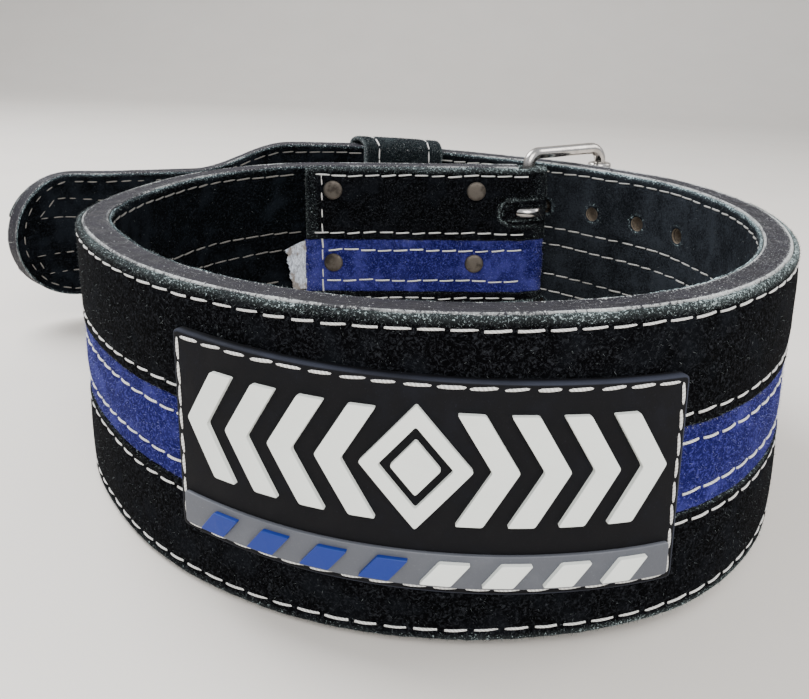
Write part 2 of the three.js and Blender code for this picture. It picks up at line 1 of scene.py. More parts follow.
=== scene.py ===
# %% [markdown]
# # A powerlifting belt, dressed
# The belt is one thick strip of leather, bent round a waist and buckled. Black suede and a blue
# stripe face it, suede lines it, and white thread holds the layers together. This lesson takes the
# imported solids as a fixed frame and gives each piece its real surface: rolled napped edges, seams
# pressed into the suede, thread, burnished leather, chrome and moulded rubber.
# Sizes are millimetres along and across the strip until a point is placed, and metres after that.

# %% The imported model
import math
import bmesh
import bpy
import numpy as np
from mathutils import Matrix, Vector


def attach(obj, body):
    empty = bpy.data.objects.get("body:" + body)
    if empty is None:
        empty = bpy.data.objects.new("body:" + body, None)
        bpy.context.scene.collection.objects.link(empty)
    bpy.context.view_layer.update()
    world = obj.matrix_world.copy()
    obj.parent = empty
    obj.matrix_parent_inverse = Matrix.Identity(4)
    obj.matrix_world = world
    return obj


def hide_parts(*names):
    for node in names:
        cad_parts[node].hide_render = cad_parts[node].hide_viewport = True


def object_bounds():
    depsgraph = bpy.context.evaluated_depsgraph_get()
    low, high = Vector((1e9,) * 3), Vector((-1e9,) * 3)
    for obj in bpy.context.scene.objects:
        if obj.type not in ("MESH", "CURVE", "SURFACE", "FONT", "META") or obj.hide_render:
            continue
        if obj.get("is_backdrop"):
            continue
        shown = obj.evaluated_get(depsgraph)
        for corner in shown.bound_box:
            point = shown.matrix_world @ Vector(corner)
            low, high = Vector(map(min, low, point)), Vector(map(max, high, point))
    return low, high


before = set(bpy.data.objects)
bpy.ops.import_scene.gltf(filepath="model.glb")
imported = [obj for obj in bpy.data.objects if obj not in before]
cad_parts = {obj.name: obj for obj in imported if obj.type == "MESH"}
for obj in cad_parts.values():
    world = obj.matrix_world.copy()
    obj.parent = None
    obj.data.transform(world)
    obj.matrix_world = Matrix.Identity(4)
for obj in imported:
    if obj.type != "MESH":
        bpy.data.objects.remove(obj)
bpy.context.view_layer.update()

# %% [markdown]
# ## Sizes of the real belt
# The strip is 100 mm wide and about 13 mm thick. Heights are measured from its lower edge, distances
# along it from the fold at the buckle, and depths from the middle of the leather, outward.

# %% Sizes
MM = 0.001
BELT_WIDTH = 100
MID = BELT_WIDTH / 2
CORE_FACE = 4.8
GAP = 0.3
FACING, LINING, STRIPE = 1.8, 1.1, 1.3  # thicknesses
FACING_IN = CORE_FACE + GAP
FACING_OUT = FACING_IN + FACING
LINING_OUT = -CORE_FACE - GAP
LINING_IN = LINING_OUT - LINING
FLAP_OUT = LINING_IN - GAP
SKIN_INSET = 0.6
STRIPE_MID, STRIPE_WIDTH = 48.3, 28
SEAMS = [95.5, 65.9, 56.6, 40.4, 31.1, 4.5]  # heights of the stitched rows
STITCH_PITCH = 8.35
TONGUE_LENGTH, TONGUE_WIDTH = 320.4, 71.3
SHOULDER_START, SHOULDER_LENGTH = 162, 55
WIRE, PRONG_WIRE, ROLLER, ROLLER_LENGTH = 6, 5.4, 12, 96
FRAME_REACH, FRAME_CLEARANCE, ROLLER_CORNER, HEEL_SET, PRONG_LEAD = 48, 3, 7, 4.4, 4.6
PRONG_OVERRUN, EYE_SLACK, PRONG_SPREAD = 6, 1, 27
SLOT_HEIGHT, SLOT_LENGTH, SLOT_BEHIND, SLOT_DEEP, SLOT_OUT, FOLD_RUN = 10, 18.5, 6.4, 9.3, 7.5, 10
HOLE, HOLE_PITCH, HOLES_BEFORE, HOLES_AFTER = 7, 28, 3, 4
FLAP_LENGTH, STRIPE_END = 118.8, 14
RIVET_COLUMNS, RIVET_SPREAD, RIVET_CAP, RIVET_RISE = [31.5, 104], 38, 9.6, 1.3
KEEPER_PLACE, KEEPER_THICKNESS, KEEPER_RISE, KEEPER_DROP, KEEPER_SKEW = 95.3, 2.6, 3, 1, 11
KEEPER_SEAM = 16.2  # each row of its stitches from its middle
PATCH_WIDTH, PATCH_HEIGHT, PATCH_SHIFT, PATCH_LIFT = 143.2, 64, -15, 1.5
PATCH_SLOPE, PATCH_THICKNESS, PATCH_MARGIN = -0.042, 3, 6
BAND_HEIGHT, BAND_RELIEF, BAND_INSET, PATTERN_RELIEF = 13, 0.9, 2.6, 1.2

# %% [markdown]
# ## The strip's path
# Seen from above, the middle of the leather is one smooth curve: along the flap, once round the
# waist, past the buckle and on to the tongue's tip. Everything on the belt is placed by its distance
# along this curve, its height and its depth, so seams and stitches stay true round every bend.

# %% The path as a fine table of places and directions
MIDDLE_LINE = np.array([
    (0.45, 1.0), (0.13, 1.0), (-0.19, 1.0), (-0.53, 0.97), (-0.8, 0.74), (-0.95, 0.38),
    (-0.985, -0.03), (-0.83, -0.41), (-0.575, -0.735), (-0.22, -0.95), (0.19, -0.99), (0.59, -0.84),
    (0.88, -0.456), (1.0, 0.057), (0.915, 0.604), (0.6, 1.06), (0.26, 1.325), (-0.12, 1.56),
    (-0.54, 1.645), (-0.97, 1.55), (-1.371, 1.443), (-1.58, 1.404), (-1.951, 0.932),
]) * (259 / 2, 224 / 2)


def smooth_line(points, steps=400):
    """Centripetal curve through the points, finely stepped."""
    before = np.vstack([2 * points[0] - points[1], points, 2 * points[-1] - points[-2]])
    made = []
    for p0, p1, p2, p3 in zip(before, before[1:], before[2:], before[3:]):
        d0, d1, d2 = (max(np.linalg.norm(b - a) ** 0.5, 1e-4) for a, b in ((p0, p1), (p1, p2), (p2, p3)))
        t1 = ((p1 - p0) / d0 - (p2 - p0) / (d0 + d1) + (p2 - p1) / d1) * d1
        t2 = ((p2 - p1) / d1 - (p3 - p1) / (d1 + d2) + (p3 - p2) / d2) * d1
        t = np.arange(steps)[:, None] / steps
        made.append(
            p1 + t1 * t + (-3 * p1 + 3 * p2 - 2 * t1 - t2) * t**2 + (2 * p1 - 2 * p2 + t1 + t2) * t**3
        )
    return np.vstack([*made, points[-1:]])


LINE = smooth_line(MIDDLE_LINE)
TRAVEL = np.concatenate([[0], np.cumsum(np.linalg.norm(np.diff(LINE, axis=0), axis=1))])
HEADING = np.gradient(LINE, TRAVEL, axis=0)
HEADING /= np.linalg.norm(HEADING, axis=1)[:, None]


def along(s):
    """Place, direction and outward normal in plan at distances along the strip."""
    place = np.stack([np.interp(s, TRAVEL, LINE[:, k]) for k in (0, 1)], -1)
    heading = np.stack([np.interp(s, TRAVEL, HEADING[:, k]) for k in (0, 1)], -1)
    heading /= np.linalg.norm(heading, axis=-1, keepdims=True)
    return place, heading, np.stack([heading[..., 1], -heading[..., 0]], -1)


FOLD, HEEL = LINE[0], along(HEEL_SET)[0]  # middle of the fold, and the heel bar a little way in


def facing_the_bar():
    """The place past the waist where the outward normal runs through the heel bar."""
    s = np.linspace(0.6 * TRAVEL[-1], 0.85 * TRAVEL[-1], 20000)
    place, heading, _ = along(s)
    return s[np.argmin(np.abs(((place - HEEL) * heading).sum(1)))]


PRONGS_AT = facing_the_bar() - PRONG_LEAD  # the prongs lean toward the waist
STRIP_END = PRONGS_AT + TONGUE_LENGTH
PRONG_REACH = along(PRONGS_AT)[0] - HEEL
PRONG_REACH /= np.linalg.norm(PRONG_REACH)
FRAME_TURN = math.asin((ROLLER / 2 + GAP + PRONG_WIRE / 2) / FRAME_REACH)
cos_t, sin_t = math.cos(-FRAME_TURN), math.sin(-FRAME_TURN)
REACH = np.array(
    [PRONG_REACH[0] * cos_t - PRONG_REACH[1] * sin_t, PRONG_REACH[0] * sin_t + PRONG_REACH[1] * cos_t]
)
HOLE_PLACES = PRONGS_AT + (np.arange(HOLES_BEFORE + 1 + HOLES_AFTER) - HOLES_BEFORE) * HOLE_PITCH
PRONG_HEIGHTS = [MID + PRONG_SPREAD, MID - PRONG_SPREAD]
RIVET_HEIGHTS = [MID + RIVET_SPREAD, MID, MID - RIVET_SPREAD]
print("prongs at", round(float(PRONGS_AT), 1), "strip ends at", round(float(STRIP_END), 1))

# %% [markdown]
# The belt leans a little, because the buckle reaches below the leather. The roller shows how much:
# its axis is the strip's own upright, and its middle is a known place.

# %% From the strip's own frame to the scene
roller_points = np.array([v.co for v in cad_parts["buckle_roller"].data.vertices])
roller_middle = (roller_points.max(0) + roller_points.min(0)) / 2
spread = np.linalg.svd(roller_points - roller_points.mean(0), full_matrices=False)[2][0]
upright = Vector(spread * np.sign(spread[2])).normalized()
TURN = np.array(Vector((0, 0, 1)).rotation_difference(upright).to_matrix())
SHIFT = roller_middle - TURN @ (np.array([*(HEEL + FRAME_REACH * REACH), MID]) * MM)


def placed(points):
    """Points of the strip's frame, in millimetres, as places in the scene."""
    return np.asarray(points, float) * MM @ TURN.T + SHIFT


def turned(directions):
    return np.asarray(directions, float) @ TURN.T


def unit(vectors):
    return vectors / np.linalg.norm(vectors, axis=1)[:, None]


def face_normal(s, side):
    """Normals of the strip's outer (1) or inner (-1) face."""
    return turned(np.concatenate([along(s)[2] * side, np.zeros((len(s), 1))], 1))


def on_strip(s, height, out):
    s, height, out = np.broadcast_arrays(np.asarray(s, float), height, out)
    place, _, outward = along(s)
    return placed(np.concatenate([place + outward * out[..., None], height[..., None]], -1))


def half_width(s):
    """Half the strip's width: full round the waist, narrower past the shoulder, then the round tip."""
    t = np.clip((s - PRONGS_AT - SHOULDER_START) / SHOULDER_LENGTH, 0, 1)
    straight = (BELT_WIDTH + (TONGUE_WIDTH - BELT_WIDTH) * t * t * (3 - 2 * t)) / 2
    tip = TONGUE_WIDTH / 2
    to_end = np.clip(STRIP_END - s, 0, tip)
    return np.where(STRIP_END - s < tip, np.sqrt(np.maximum(tip**2 - (tip - to_end) ** 2, 0)), straight)


def stations(start, step=2.0, least=1.5):
    """Places along the strip up to the tip, closer together round its end."""
    tip = TONGUE_WIDTH / 2
    turns = np.linspace(math.pi / 2, math.asin(least / tip), 26)
    straight = np.arange(start, STRIP_END - tip, step)
    return np.concatenate([straight, STRIP_END - tip * (1 - np.cos(turns))])


print("lean", round(math.degrees(upright.angle(Vector((0, 0, 1)))), 2), "degrees")

# %% [markdown]
# ## Camera, floor and light
# The camera stands where the photographer stood: close in front, a little above the rim, looking
# down 15 degrees. The floor is plain and pale and rises behind the belt in one sweep. The light is
# soft: a broad one from the upper left, a weaker one from the front, and a pale sky.

# %% Camera
add_to_scene = bpy.context.scene.collection.objects.link
PHOTO_WIDTH, PHOTO_HEIGHT = 809, 699
FOCAL_PX, SIGHT_ROW = 883.1, 250.0
EYE = (-10.8, -333.85, 175.6)
YAW, PITCH, ROLL = (math.radians(a) for a in (0.22, 15.2, 0.61))
sight = np.array([math.sin(YAW) * math.cos(PITCH), math.cos(YAW) * math.cos(PITCH), -math.sin(PITCH)])
level = np.array([math.cos(YAW), -math.sin(YAW), 0])
raised = np.cross(level, sight)
across = math.cos(ROLL) * level + math.sin(ROLL) * raised
upward = -math.sin(ROLL) * level + math.cos(ROLL) * raised
camera_data = bpy.data.cameras.new("camera")
camera_data.sensor_width = 36
camera_data.lens = FOCAL_PX / PHOTO_WIDTH * camera_data.sensor_width
camera_data.shift_y = (SIGHT_ROW - (PHOTO_HEIGHT - 1) / 2) / PHOTO_WIDTH
camera_data.clip_start = 0.01
camera = bpy.data.objects.new("camera", camera_data)
stand = Matrix([list(row) for row in turned([across, upward, -sight]).T]).to_4x4()
stand.translation = placed(EYE)
camera.matrix_world = stand
add_to_scene(camera)
bpy.context.scene.camera = camera
print("camera at", [round(v, 3) for v in camera.location], "lens", round(camera_data.lens, 1))


# %% Lights
def soft_light(name, place, size, power, tint):
    data = bpy.data.lights.new(name, "AREA")
    data.shape, data.size, data.energy, data.color = "DISK", size, power, tint
    lamp = bpy.data.objects.new(name, data)
    lamp.location = place
    lamp.rotation_euler = (Vector((0, 0, 0.05)) - Vector(place)).to_track_quat("-Z", "Y").to_euler()
    add_to_scene(lamp)


soft_light("window_light", (-0.75, 0.5, 1.15), 0.9, 34, (0.96, 0.98, 1.0))
soft_light("front_light", (0.15, -1.3, 1.0), 1.3, 24, (1.0, 0.985, 0.96))
soft_light("right_light", (1.1, 0.1, 0.8), 0.8, 7, (1.0, 0.97, 0.93))
sky = bpy.data.worlds.new("pale_sky")
sky.use_nodes = True
sky.node_tree.nodes["Background"].inputs["Color"].default_value = (0.9, 0.94, 1.0, 1)
sky.node_tree.nodes["Background"].inputs["Strength"].default_value = 0.9
bpy.context.scene.world = sky

# %% [markdown]
# ## Surfaces
# Suede is split leather with its fibres raised. What the eye reads is the nap: fine fibres that
# catch light, patches brushed one way or the other, and pale bloom where hands and edges have worn
# it. These effects are node groups, shared by the materials that need them.


# %% Small helpers for node trees
def feed(tree, node, inputs):
    """Values or links on a node's inputs."""
    for key, value in dict(inputs).items():
        if isinstance(value, bpy.types.NodeSocket):
            tree.links.new(value, node.inputs[key])
        else:
            node.inputs[key].default_value = value
    return node


def put(tree, kind, inputs=(), **settings):
    """A node with its settings, and with values or links on its inputs."""
    node = tree.nodes.new(kind)
    for key, value in settings.items():
        setattr(node, key, value)
    return feed(tree, node, inputs)


def noise(tree, place, scale, detail=3, roughness=0.55, distortion=0.0):
    return put(tree, "ShaderNodeTexNoise", {
        "Vector": place, "Scale": scale, "Detail": detail, "Roughness": roughness, "Distortion": distortion,
    }).outputs[0]


def between(tree, value, low, high, to_low=0.0, to_high=1.0):
    """Soft threshold of a value."""
    return put(tree, "ShaderNodeMapRange", {
        "Value": value, "From Min": low, "From Max": high, "To Min": to_low, "To Max": to_high,
    }, interpolation_type="SMOOTHSTEP").outputs[0]


def maths(tree, how, a, b=0.0):
    return put(tree, "ShaderNodeMath", {0: a, 1: b}, operation=how).outputs[0]


def times(tree, a, b):
    return maths(tree, "MULTIPLY", a, b)


def plus(tree, a, b):
    return maths(tree, "ADD", a, b)


def object_place(tree):
    return put(tree, "ShaderNodeTexCoord").outputs["Object"]


def rightward(tree, place):
    """How far to the right of the belt's middle a place lies."""
    return put(tree, "ShaderNodeSeparateXYZ", {0: place}).outputs[0]


def bumped(tree, shader, height, distance, strength):
    bump = put(tree, "ShaderNodeBump", {"Height": height, "Distance": distance, "Strength": strength})
    tree.links.new(bump.outputs[0], shader.inputs["Normal"])


def mixed(tree, share, a, b):
    colours = {key: c if isinstance(c, bpy.types.NodeSocket) else (*c, 1) for key, c in ((6, a), (7, b))}
    return put(tree, "ShaderNodeMix", {0: share, **colours}, data_type="RGBA").outputs[2]


def effect(name, inputs, outputs):
    """A shader node group with its named inputs and outputs."""
    tree = bpy.data.node_groups.new(name, "ShaderNodeTree")
    for label, kind, value in inputs:
        socket = tree.interface.new_socket(label, in_out="INPUT", socket_type=kind)
        socket.default_value = value
    for label, kind in outputs:
        tree.interface.new_socket(label, in_out="OUTPUT", socket_type=kind)
    return tree, tree.nodes.new("NodeGroupInput"), tree.nodes.new("NodeGroupOutput")


def use(tree, group, inputs=()):
    node = tree.nodes.new("ShaderNodeGroup")
    node.node_tree = group
    return feed(tree, node, inputs)


# %% Nap: fibres, brushed patches and the bumps they make
nap, given, made = effect("Nap", [
    ("Fibre size mm", "NodeSocketFloat", 0.45),
    ("Depth mm", "NodeSocketFloat", 0.25),
], [("Fibres", "NodeSocketFloat"), ("Brushing", "NodeSocketFloat"), ("Lint", "NodeSocketFloat"),
("Normal", "NodeSocketVector")])
place = object_place(nap)
per_mm = maths(nap, "DIVIDE", 1000.0, given.outputs["Fibre size mm"])
lay = noise(nap, place, 90, 2)
bent = put(nap, "ShaderNodeVectorMath", {0: place, 1: put(nap, "ShaderNodeVectorMath", {
    0: put(nap, "ShaderNodeTexNoise", {"Vector": place, "Scale": 420.0, "Detail": 2.0}).outputs[1],
    "Scale": 0.0022,
}, operation="SCALE").outputs[0]}, operation="ADD").outputs[0]
fine = noise(nap, bent, per_mm, 3, 0.7, 0.6)
clumps = noise(nap, bent, 760, 2, 0.6, 1.2)
fibres = plus(nap, times(nap, fine, 0.76), times(nap, clumps, 0.24))
patches = plus(nap, times(nap, lay, 0.6), times(nap, noise(nap, place, 28, 3), 0.4))
lint_bits = put(
    nap, "ShaderNodeTexVoronoi", {"Vector": bent, "Scale": 900.0, "Randomness": 1.0}, feature="F1"
).outputs[0]
lint_where = between(nap, noise(nap, place, 240, 2), 0.56, 0.7)
lint = times(nap, between(nap, lint_bits, 0.22, 0.08), lint_where)
depth = times(nap, given.outputs["Depth mm"], MM)
bump = put(nap, "ShaderNodeBump", {"Height": fibres, "Distance": depth, "Strength": 1.0})
for label, value in (
    ("Fibres", fibres), ("Brushing", patches), ("Lint", lint), ("Normal", bump.outputs[0])
):
    nap.links.new(value, made.inputs[label])

# %% Wear: pale flecks gathered along edges, driven by the mesh's own "edge" attribute
wear, given, made = effect(
    "Edge wear", [("Amount", "NodeSocketFloat", 1.0)],
    [("Flecks", "NodeSocketFloat"), ("Rub", "NodeSocketFloat")]
)
place = object_place(wear)
edge = put(wear, "ShaderNodeAttribute", attribute_name="edge").outputs["Fac"]
fine = noise(wear, place, 1450, 3, 0.8, 0.4)
broad = noise(wear, place, 38, 3)
# the right side has been rubbed most
side_rub = between(
    wear, rightward(wear, place), 0.02, 0.15, 0.8, 1.2
)
uneven = between(wear, broad, 0.32, 0.7, 0.7, 1.1)
reach = times(wear, times(wear, edge, given.outputs["Amount"]), times(wear, side_rub, uneven))
cut_level = maths(wear, "SUBTRACT", 0.67, times(wear, reach, 0.16))
flecks = between(wear, maths(wear, "SUBTRACT", fine, cut_level), 0.0, 0.08)
wear.links.new(times(wear, flecks, between(wear, reach, 0.02, 0.25)), made.inputs["Flecks"])
wear.links.new(reach, made.inputs["Rub"])


# %% [markdown]
# ### The materials
# Each is a Principled surface. Sheen, shine and other even values sit on its own sockets; colour,
# roughness and bump come from the groups.


# %% Suedes
def surface(name):
    material = bpy.data.materials.new(name)
    material.use_nodes = True
    tree = material.node_tree
    return material, tree, tree.nodes["Principled BSDF"]


def suede(
    name, deep, tip, bloom, worn, lint=0.25, fibre=0.8, depth=0.25, sheen=0.0, tint=(0.7, 0.75, 0.9),
    amount=1.0, dust_and_painted_light=0.0
):
    """Napped leather: deep between the fibres, tip on them, bloom where brushed and worn at edges.

    Toward its right it can be paled in mottled patches: painted light on the lit side.
    """
    material, tree, shader = surface(name)
    fuzz = use(tree, nap, {"Fibre size mm": fibre, "Depth mm": depth})
    worn_at = use(tree, wear, {"Amount": amount})
    base = mixed(tree, between(tree, fuzz.outputs["Fibres"], 0.47, 0.68), deep, tip)
    brushed = mixed(
        tree, times(tree, between(tree, fuzz.outputs["Brushing"], 0.46, 0.66), 0.55), base, bloom
    )
    dusty_and_lit = mixed(tree, times(tree, fuzz.outputs["Lint"], lint), brushed, (0.16, 0.17, 0.18))
    # Painted light: mottled paling toward the belt's right, where light falls on the inside wall.
    right = rightward(tree, object_place(tree))
    cloud = plus(tree, times(tree, fuzz.outputs["Fibres"], 0.6), times(tree, fuzz.outputs["Brushing"], 0.4))
    cloud = between(tree, cloud, 0.4, 0.6, 0.2, 1.0)
    painted_light_on_right = times(tree, times(tree, between(tree, right, 0.03, 0.16), cloud), dust_and_painted_light)
    dusty_and_lit = mixed(tree, painted_light_on_right, dusty_and_lit, (0.50 * worn[0], 0.46 * worn[1], 0.50 * worn[2]))
    rubbed = mixed(tree, times(tree, between(tree, worn_at.outputs["Rub"], 0.15, 1.1), 0.6), dusty_and_lit, worn)
    color = mixed(tree, worn_at.outputs["Flecks"], rubbed, tuple(min(0.62, 8 * c) for c in worn))
    tree.links.new(color, shader.inputs["Base Color"])
    tree.links.new(fuzz.outputs["Normal"], shader.inputs["Normal"])
    tree.links.new(between(tree, fuzz.outputs["Fibres"], 0.3, 0.7, 1.0, 0.86), shader.inputs["Roughness"])
    shader.inputs["Specular IOR Level"].default_value = 0.02
    shader.inputs["Sheen Weight"].default_value = sheen
    shader.inputs["Sheen Roughness"].default_value = 0.35
    shader.inputs["Sheen Tint"].default_value = (*tint, 1)
    return material


black_suede = suede(
    "black_suede", (0.0012, 0.0012, 0.0015), (0.0190, 0.0205, 0.0240), (0.0080, 0.0094, 0.0120),
    (0.050, 0.060, 0.060), fibre=0.85, depth=0.45
)
# The lining is paled toward its right: painted light on the lit inside of the belt.
lining_suede = suede(
    "lining_suede", (0.0008, 0.0010, 0.0013), (0.0100, 0.0120, 0.0150), (0.0085, 0.0110, 0.0145),
    (0.060, 0.076, 0.084), dust_and_painted_light=0.7
)
blue_suede = suede(
    "blue_suede", (0.007, 0.007, 0.065), (0.052, 0.054, 0.27), (0.060, 0.062, 0.28), (0.13, 0.135, 0.36),
    lint=0.2, fibre=0.95, depth=0.5, sheen=0.03, tint=(0.6, 0.6, 1.0), amount=0.7
)
keeper_suede = suede(
    "keeper_suede", (0.0045, 0.0060, 0.0068), (0.0240, 0.0310, 0.0340), (0.0300, 0.0400, 0.0430),
    (0.120, 0.150, 0.155), lint=0.3, sheen=0.03
)

# %% Burnished leather of the core, with the thin lines that cutting leaves along its edge
leather, tree, shader = surface("leather")
place = object_place(tree)
strip_uv = put(tree, "ShaderNodeUVMap", uv_map="strip").outputs[0]
lines_at = put(tree, "ShaderNodeMapping", {"Vector": strip_uv, "Scale": (60, 2600, 1)}).outputs[0]
lines = noise(tree, lines_at, 1.0, 4, 0.7)
mottle = noise(tree, place, 160, 4, 0.6)
worn_at = use(tree, wear, {"Amount": 1.15})
base = mixed(tree, between(tree, lines, 0.35, 0.7), (0.008, 0.0075, 0.010), (0.022, 0.0205, 0.027))
base = mixed(tree, times(tree, between(tree, mottle, 0.45, 0.7), 0.4), base, (0.031, 0.029, 0.037))
base = mixed(
    tree, times(tree, between(tree, worn_at.outputs["Rub"], 0.3, 1.2), 0.12), base, (0.11, 0.11, 0.12)
)
right = rightward(tree, place)
scuffs = times(
    tree, between(tree, noise(tree, lines_at, 2.6, 4, 0.8), 0.56, 0.66),
    between(tree, right, 0.0, 0.15, 0.1, 0.75)
)
base = mixed(tree, scuffs, base, (0.26, 0.27, 0.28))
flecked = mixed(tree, worn_at.outputs["Flecks"], base, (0.60, 0.61, 0.60))
pale_line = times(
    tree, between(tree, worn_at.outputs["Rub"], 0.7, 1.05),
    between(tree, noise(tree, place, 800, 3), 0.36, 0.56)
)
tree.links.new(
    mixed(tree, times(tree, pale_line, 0.85), flecked, (0.42, 0.43, 0.42)), shader.inputs["Base Color"]
)
tree.links.new(between(tree, mottle, 0.3, 0.7, 0.5, 0.75), shader.inputs["Roughness"])
bumped(tree, shader, plus(tree, lines, mottle), 0.00025, 0.8)
shader.inputs["Specular IOR Level"].default_value = 0.1


# %% Raw hide, seen where the belt was punched and where the stripe's end was torn
raw_hide, tree, shader = surface("raw_hide")
place = object_place(tree)
wisps = noise(
    tree, put(tree, "ShaderNodeMapping", {"Vector": place, "Scale": (1, 1, 0.35)}).outputs[0], 1500, 3,
    0.75, 1.0
)
stain = between(tree, noise(tree, place, 170, 3), 0.47, 0.6)
hide = mixed(tree, between(tree, wisps, 0.38, 0.62), (0.30, 0.32, 0.36), (0.72, 0.77, 0.86))
tree.links.new(
    mixed(tree, times(tree, stain, 0.75), hide, (0.17, 0.125, 0.08)), shader.inputs["Base Color"]
)
bumped(tree, shader, wisps, 0.0004, 1.0)
shader.inputs["Roughness"].default_value = 0.9
hole_wall, tree, shader = surface("hole_wall")
place = object_place(tree)
tree.links.new(
    mixed(tree, noise(tree, place, 900, 3), (0.02, 0.015, 0.010), (0.24, 0.19, 0.135)),
    shader.inputs["Base Color"]
)
shader.inputs["Roughness"].default_value = 0.85


# %% Metals
def metal(name, color, dull, rough, scratch, tarnish_and_painted_reflection):
    """Bare or plated metal: fine scratches and a film that dulls it in places. On the chrome, the brown
    tone and the film are painted reflection.
    """
    material, tree, shader = surface(name)
    place = object_place(tree)
    film = noise(tree, place, 120, 4, 0.6)
    fine = noise(
        tree, put(tree, "ShaderNodeMapping", {"Vector": place, "Scale": (1, 1, 6)}).outputs[0], 900, 3, 0.7
    )
    share = times(tree, between(tree, film, 0.42, 0.68), tarnish_and_painted_reflection)
    tree.links.new(mixed(tree, share, color, dull), shader.inputs["Base Color"])
    tree.links.new(
        plus(tree, between(tree, fine, 0.35, 0.7, rough, rough + 0.14), times(tree, share, 0.25)),
        shader.inputs["Roughness"]
    )
    bumped(tree, shader, fine, scratch * MM, 0.6)
    shader.inputs["Metallic"].default_value = 1
    return material


# The chrome's brownish tone and its dark brown film are painted reflection of brown surroundings; the
# rivets' film is real browning.
chrome = metal("chrome", (0.50, 0.475, 0.45), (0.22, 0.20, 0.18), 0.12, 0.02, 0.5)
rivet_metal = metal("rivet_metal", (0.15, 0.13, 0.11), (0.06, 0.05, 0.042), 0.52, 0.2, 0.95)


# %% Moulded rubbers and thread
def rubber(name, color, dust_and_painted_light, rough=0.42, share=0.3, shine=0.35):
    """Moulded rubber: an even skin, a faint orange peel, dust in its pores and painted light on its rounded
    edges.
    """
    material, tree, shader = surface(name)
    place = object_place(tree)
    skin, film = noise(tree, place, 1300, 3, 0.6), noise(tree, place, 70, 4, 0.65)
    specks = times(tree, between(tree, noise(tree, place, 1900, 2), 0.62, 0.75), share)
    cloudy = mixed(tree, times(tree, between(tree, film, 0.45, 0.75), share * 0.6), color, dust_and_painted_light)
    worn_at = use(tree, wear, {"Amount": 0.9})
    # Rounded edges, with the rubbing wear, are mixed toward the dust colour: painted highlight on dark
    # rubber, painted shade on white.
    skin_with_lit_edges = mixed(
        tree, times(tree, between(tree, worn_at.outputs["Rub"], 0.2, 1.0), 0.35),
        mixed(tree, specks, cloudy, dust_and_painted_light), dust_and_painted_light
    )
    tree.links.new(skin_with_lit_edges, shader.inputs["Base Color"])
    tree.links.new(between(tree, film, 0.3, 0.7, rough, rough + 0.16), shader.inputs["Roughness"])
    bumped(tree, shader, skin, 0.00006, 0.7)
    shader.inputs["Specular IOR Level"].default_value = shine
    return material


black_rubber = rubber(
    "black_rubber", (0.0035, 0.0035, 0.0045), (0.075, 0.085, 0.125), rough=0.62, share=0.07, shine=0.12
)
grey_rubber = rubber("grey_rubber", (0.085, 0.09, 0.105), (0.2, 0.21, 0.235))
white_rubber = rubber("white_rubber", (0.80, 0.83, 0.78), (0.5, 0.52, 0.48), share=0.15)
blue_rubber = rubber("blue_rubber", (0.004, 0.022, 0.20), (0.04, 0.09, 0.30), share=0.15)


def thread_material(name, shade, pale, left_shade=0.0):
    """Twisted thread, pale with painted shade in the grooves of its twist; the last argument is how much
    painted shade darkens it toward the belt's left.
    """
    material, tree, shader = surface(name)
    inside = put(tree, "ShaderNodeAttribute", attribute_name="thread").outputs["Vector"]
    split = put(tree, "ShaderNodeSeparateXYZ", {0: inside})
    turn = put(
        tree, "ShaderNodeMath", {0: split.outputs[1], 1: split.outputs[2]}, operation="ARCTAN2"
    ).outputs[0]
    twist = maths(tree, "SINE", plus(tree, times(tree, split.outputs[0], 5200.0), times(tree, turn, 2.0)))
    place = object_place(tree)
    hairs, grime = noise(tree, place, 3200, 2, 0.7), noise(tree, place, 45, 3, 0.6)
    strand = mixed(tree, between(tree, twist, -0.9, 0.5), shade, pale)
    yarn = mixed(
        tree, times(tree, between(tree, grime, 0.45, 0.7), 0.45), strand, tuple(0.6 * c for c in pale)
    )
    fluffed = mixed(
        tree, times(tree, between(tree, hairs, 0.55, 0.75), 0.3), yarn, tuple(1.15 * c for c in pale)
    )
    right = rightward(tree, place)
    # Painted shade: the thread darkens toward the belt's left, where the inside lies in shadow.
    left_shade_share = times(tree, between(tree, right, 0.08, -0.03), left_shade)
    tree.links.new(mixed(tree, left_shade_share, fluffed, (0.055, 0.046, 0.038)), shader.inputs["Base Color"])
    bumped(tree, shader, twist, 0.00006, 0.8)
    shader.inputs["Roughness"].default_value = 0.7
    shader.inputs["Sheen Weight"].default_value = 0.2
    return material


thread = thread_material("thread", (0.50, 0.48, 0.45), (0.80, 0.79, 0.76))
# A darker copy of the thread for the inside rows: painted shade, deepest at the belt's left.
thread_in_painted_shade = thread_material("thread_in_painted_shade", (0.24, 0.23, 0.21), (0.44, 0.43, 0.40), left_shade=0.75)

floor_paint, tree, shader = surface("floor_paint")
place = object_place(tree)
tree.links.new(
    mixed(tree, noise(tree, place, 9, 3), (0.70, 0.655, 0.60), (0.76, 0.715, 0.66)),
    shader.inputs["Base Color"]
)
shader.inputs["Roughness"].default_value = 0.6
print("materials:", len(bpy.data.materials))

